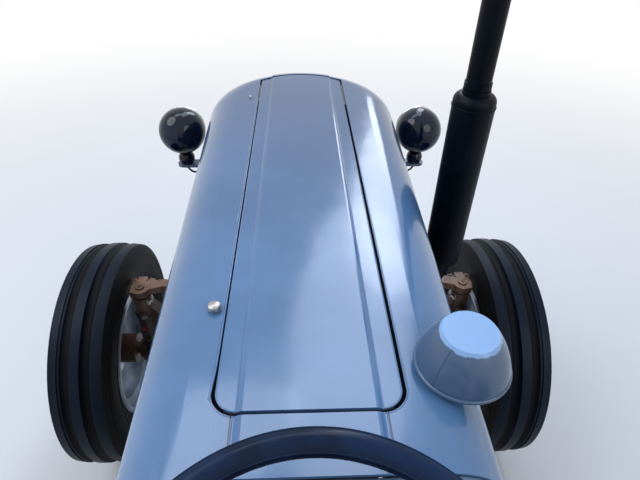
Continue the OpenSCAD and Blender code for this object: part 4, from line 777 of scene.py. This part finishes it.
for side, way in SIDES:
    body, hub = "front_wheel_" + side, (FA, way * FRONT_Y, FRONT_Z)
    bm = bmesh.new()
    for x, z in circle_of(5, 76, FA, FRONT_Z):
        hexagon(bm, (x, way * (FRONT_Y + 33.5), z), (0, way, 0), 25, 13, 17)
    piece("front_wheel_nuts_" + side, bm, ZINC, body)
    turned_piece("front_hub_cap_" + side, [(0, 76), (12, 75), (22, 71.5), (27.4, 66.4), (28.6, 62),
                                           (30.5, 60.4), (30.5, 58.4), (0, 58.4)],
                 on_axle(*hub, way), FRONT_SILVER, body)
    valve("front", side, Vector((FA, way * (FRONT_Y + 48), FRONT_Z - 190)), (0, way * 24, 9),
          (0, way * 31, 11.6), (4.2, 3.4, 3.6), FRONT_RUBBER)
    wall_rings("front", side, way, hub, (85.5, 296.5, 185, 150),
               ((330, 1.6), (318, 1.0), (262, 1.6), (240, 1.2)), FRONT_RUBBER)

    body, hub = "rear_wheel_" + side, (RA, way * REAR_Y, REAR_Z)
    bm = bmesh.new()
    for x, z in circle_of(8, 101.5, RA, REAR_Z):
        hexagon(bm, (x, way * (REAR_Y - 59.5), z), (0, way, 0), 30, 18, 20)
    # pairs of nuts where the disc is bolted to the rim's lugs
    for i in range(8):
        turn = math.radians(45 * i)
        cos, sin = math.cos(turn), math.sin(turn)
        for off in (-15, 15):
            hexagon(bm, (RA + 306 * cos + off * sin, way * (REAR_Y + 6),
                         REAR_Z - 306 * sin + off * cos), (0, way, 0), 19, 9, 12)
    piece("rear_wheel_nuts_" + side, bm, ZINC, body)
    turned_piece("rear_hub_cap_" + side, [(0, 34), (20, 33), (38, 29), (45.4, 22), (46.6, 16),
                                          (0, 16)],
                 on_axle(*hub, way), REAR_SILVER, body)
    valve("rear", side, Vector((RA, way * (REAR_Y + 60), REAR_Z - 324)), (0, way * 34, 4),
          (0, way * 44, 5.4), (5, 4, 4.4), REAR_RUBBER)
    wall_rings("rear", side, way, hub, (138, 485, 150, 220),
               ((520, 2.0), (505, 1.4), (430, 2.0), (405, 1.4)), REAR_RUBBER)

    # steering arm: clamp bolt, nut of its ball and the dimple over the kingpin
    body = "knuckle_" + side
    low, high = BEAM_Z + 152, DRAG_Z - 19
    middle = (low + high) / 2
    bm = bmesh.new()
    hexagon(bm, (FA + 39, way * (KINGPIN_Y + 23.5), middle), (0, way, 0), 19, 10, 13)
    hexagon(bm, (FA + 39, way * (KINGPIN_Y - 23.5), middle), (0, -way, 0), 19, 12, 13)
    hexagon(bm, (FA, way * (KINGPIN_Y - ARM_LEN), DRAG_Z + 21.5), UP, 24, 12)
    piece("steering_arm_bolts_" + side, bm, CASTING, body)
    bm = bmesh.new()
    turned(bm, [(5.2, high + 2.6), (6.4, high + 4.6), (12.6, high + 4.6), (14.2, high + 2.8)],
           Matrix.Translation((FA, way * KINGPIN_Y, 0)), 32, True)
    bar(bm, (FA, way * KINGPIN_Y, high + 2.8), (FA, way * KINGPIN_Y, high + 7), 2.6, 10)
    piece("kingpin_cap_" + side, bm, CASTING, body)

    # axle: bolts of the outer arm and of its kingpin boss
    bm = bmesh.new()
    for y in (BEAM_END - 45, BEAM_END - 5, BEAM_END + 60):
        hexagon(bm, (FA + 45.5, way * y, BEAM_Z), AHEAD, 26, 12, 17)
        hexagon(bm, (FA - 37.8, way * y, BEAM_Z), BACK, 26, 14, 17)
    hexagon(bm, (FA - 19.5, way * (KINGPIN_Y - 24), BEAM_Z + 128), (-0.62, -0.78 * way, 0), 17, 11,
            12)
    hexagon(bm, (FA - 30.5, way * (KINGPIN_Y - 3), BEAM_Z + 80), BACK, 17, 11, 12)
    hexagon(bm, (FA - 21.5, way * (KINGPIN_Y - 52), BEAM_Z + 50), BACK, 15, 9, 10)
    piece("front_axle_bolts_" + side, bm, STEEL, "chassis")
    turned_piece("grease_cap_" + side, [(0, 13), (3.5, 12), (5.4, 9), (5.6, 0), (0, 0)],
                 along((FA - 29.5, way * (KINGPIN_Y + 8), BEAM_Z + 23), BACK),
                 RED_CAP if way > 0 else BRASS, "chassis", 20)

    # castings behind: covers of the gearbox and the final drive, and nut of the radius rod
    bm = bmesh.new()
    for x, z in circle_of(6, 60, FA - 1290, 560):
        hexagon(bm, (x, way * 146.6, z), (0, way, 0), 17, 7)
    for x, z in circle_of(10, 140, RA, REAR_Z):
        hexagon(bm, (x, way * 196.6, z), (0, way, 0), 19, 8)
    hexagon(bm, (FA - 888, way * 225.5, 462), (0, way, 0), 27, 12, 18)
    piece("casting_bolts_" + side, bm, STEEL, "chassis")

    # linkage: the steel ball of each lower link, its nut in front and the washer of a lift arm
    eye = (LINK_X - LINK_LEN * math.cos(LINK_DROP), way * 346,
           LINK_Z - LINK_LEN * math.sin(LINK_DROP))
    bm = bmesh.new()
    for face in (1, -1):
        turned(bm, [(12.4, 15.8), (15.5, 17.4), (20.5, 17.4), (22.2, 15.8)], on_axle(*eye, face),
               40, True)
    piece("lower_link_ball_" + side, bm, STEEL, "lower_link_" + side)
    bm = bmesh.new()
    hexagon(bm, (LINK_X, way * 215.5, LINK_Z), (0, way, 0), 27, 12, 20)
    piece("lower_link_pivot_nut_" + side, bm, STEEL, "chassis")
    end = (CROSS_X - LIFT_LEN * math.cos(LIFT_DROP), way * 250,
           CROSS_Z - LIFT_LEN * math.sin(LIFT_DROP))
    turned_piece("lift_arm_washer_" + side, [(8.6, -5), (14, -5), (14, -2), (8.6, -2)],
                 on_axle(*end, way), STEEL, "lift_arms", 28, True)

# steering wheel: nut, spoke flares and the parting lines of the moulding
bm = bmesh.new()
hexagon(bm, WHEEL @ Vector((0, 0, 17.6)), WHEEL.to_3x3() @ Vector(UP), 32, 12, 19)
piece("steering_wheel_nut", bm, CHROME, "steering_wheel")
bm = bmesh.new()
for i in range(3):
    turn = math.pi + i * TURN / 3
    way = Vector((math.cos(turn), math.sin(turn), 0))
    for near, low, radius, far, high, end_radius in ((150, -5, 7.4, 184, -2, 13.4),
                                                     (20, -20, 12, 52, -16.5, 7.6)):
        bar(bm, WHEEL @ (way * near + Vector((0, 0, low))),
            WHEEL @ (way * far + Vector((0, 0, high))), radius, 24, end_radius)
piece("steering_wheel_spoke_flares", bm, WHEEL_BLACK, "steering_wheel")
bm = bmesh.new()
for degrees in (38, 142):
    turn = math.radians(degrees)
    radius, high = RIM_PATH + RIM_R * math.cos(turn), RIM_R * math.sin(turn)
    turned(bm, [(radius - 0.9, high - 0.9), (radius + 0.9, high - 0.9),
                (radius + 0.9, high + 0.9), (radius - 0.9, high + 0.9)], WHEEL, 128, True)
piece("steering_wheel_parting_lines", bm, WHEEL_BLACK, "steering_wheel")

# seat bolts, and the bolts of the power take-off cap
bm = bmesh.new()
for x in (RA - 42, RA + 2):
    hexagon(bm, (x, 0, 931), UP, 17, 5, 14)
for x in (RA + 90, RA + 140):
    hexagon(bm, (x, 0, 859.8), UP, 22, 9, 16)
for i in range(6):
    turn = math.radians(60 * i + 30)
    hexagon(bm, (RA - 217.5, 53 * math.cos(turn), TAKE_OFF_Z + 53 * math.sin(turn)), BACK, 13, 6)
piece("seat_and_cover_bolts", bm, STEEL, "chassis")

# studio: a pale floor that runs out into white, and soft round lights

PALE, SNOW = "#f4f8ff", "#e4eeff"
LIGHTS = (("key", (0.6, 3.8, 5.2), (0.3, 0, 0.6), (4.0, 4.0), 165, PALE),
          ("fill", (-3.0, -3.5, 4.0), (0.0, 0, 0.6), (4.0, 4.0), 95, PALE),
          ("tall_panel", (4.6, -1.15, 3.5), (1.1, -0.16, 1.22), (1.1, 2.4), 42, SNOW),
          ("high_right", (3.3, -0.5, 4.7), (0.4, -0.1, 1.23), (1.25, 3.4), 44, SNOW),
          ("high_left", (2.6, 1.2, 5.3), (0.25, 0.15, 1.23), (2.6, 1.1), 30, SNOW))


def seen(tree):
    """1 for the rays that the eye sees directly, through glass or in a mirror."""
    path = add(tree, "LightPath")
    eye = add(tree, "Math", {"operation": "MAXIMUM"}, i0=path["Is Camera Ray"],
              i1=path["Is Transmission Ray"])[0]
    return add(tree, "Math", {"operation": "MAXIMUM"}, i0=eye, i1=path["Is Glossy Ray"])[0]


def lay_floor():
    """A matt floor that fades to the background's white past the object's shadow."""
    bm = bmesh.new()
    bmesh.ops.create_grid(bm, x_segments=1, y_segments=1, size=30.0)
    mesh = bpy.data.meshes.new("floor")
    bm.to_mesh(mesh)
    bm.free()
    made, tree, place = blank("pale_studio_floor")
    speck = add(tree, "TexNoise", Vector=place, Scale=1000 / 400, Detail=2.0)[0]
    tone = add(tree, "MixRGB", Fac=speck, Color1=tint("#dfe1e3"), Color2=tint("#e3e4e6"))[0]
    matt = add(tree, "BsdfPrincipled", Base_Color=tone, Roughness=0.9)[0]
    away = add(tree, "VectorMath", {"operation": "LENGTH"}, i0=place)["Value"]
    fade = add(tree, "MapRange", {"interpolation_type": "SMOOTHSTEP"}, Value=away, From_Min=1.8,
               From_Max=6.5)[0]
    fade = add(tree, "Math", {"operation": "MULTIPLY"}, i0=fade, i1=seen(tree))[0]
    white = add(tree, "Emission", Color=(1, 1, 1, 1), Strength=1.0)[0]
    add(tree, "OutputMaterial", Surface=add(tree, "MixShader", Fac=fade, i1=matt, i2=white)[0])
    mesh.materials.append(made)
    obj = bpy.data.objects.new("floor", mesh)
    bpy.context.scene.collection.objects.link(obj)


def light_world():
    """A white background for the eye, and a soft bluish light for the matt surfaces."""
    world = bpy.data.worlds.new("studio")
    world.use_nodes = True
    tree = world.node_tree
    tree.nodes.clear()
    lit = add(tree, "Background", Color=tint("#e2eaf6"), Strength=0.46)[0]
    white = add(tree, "Background", Color=(1, 1, 1, 1), Strength=1.0)[0]
    add(tree, "OutputWorld",
        Surface=add(tree, "MixShader", Fac=seen(tree), i1=lit, i2=white)[0])
    bpy.context.scene.world = world


def hang_lights():
    """The area lights, each turned to its aim."""
    for name, spot, aim, size, power, code in LIGHTS:
        data = bpy.data.lights.new(name, "AREA")
        data.shape = "ELLIPSE"
        data.energy, data.size, data.size_y = power, size[0], size[1]
        data.color = tint(code)[:3]
        obj = bpy.data.objects.new(name, data)
        obj.location = spot
        obj.rotation_euler = (Vector(aim) - Vector(spot)).to_track_quat("-Z", "Y").to_euler()
        bpy.context.scene.collection.objects.link(obj)


lay_floor()
light_world()
hang_lights()
bpy.context.scene.view_settings.view_transform = "Standard"
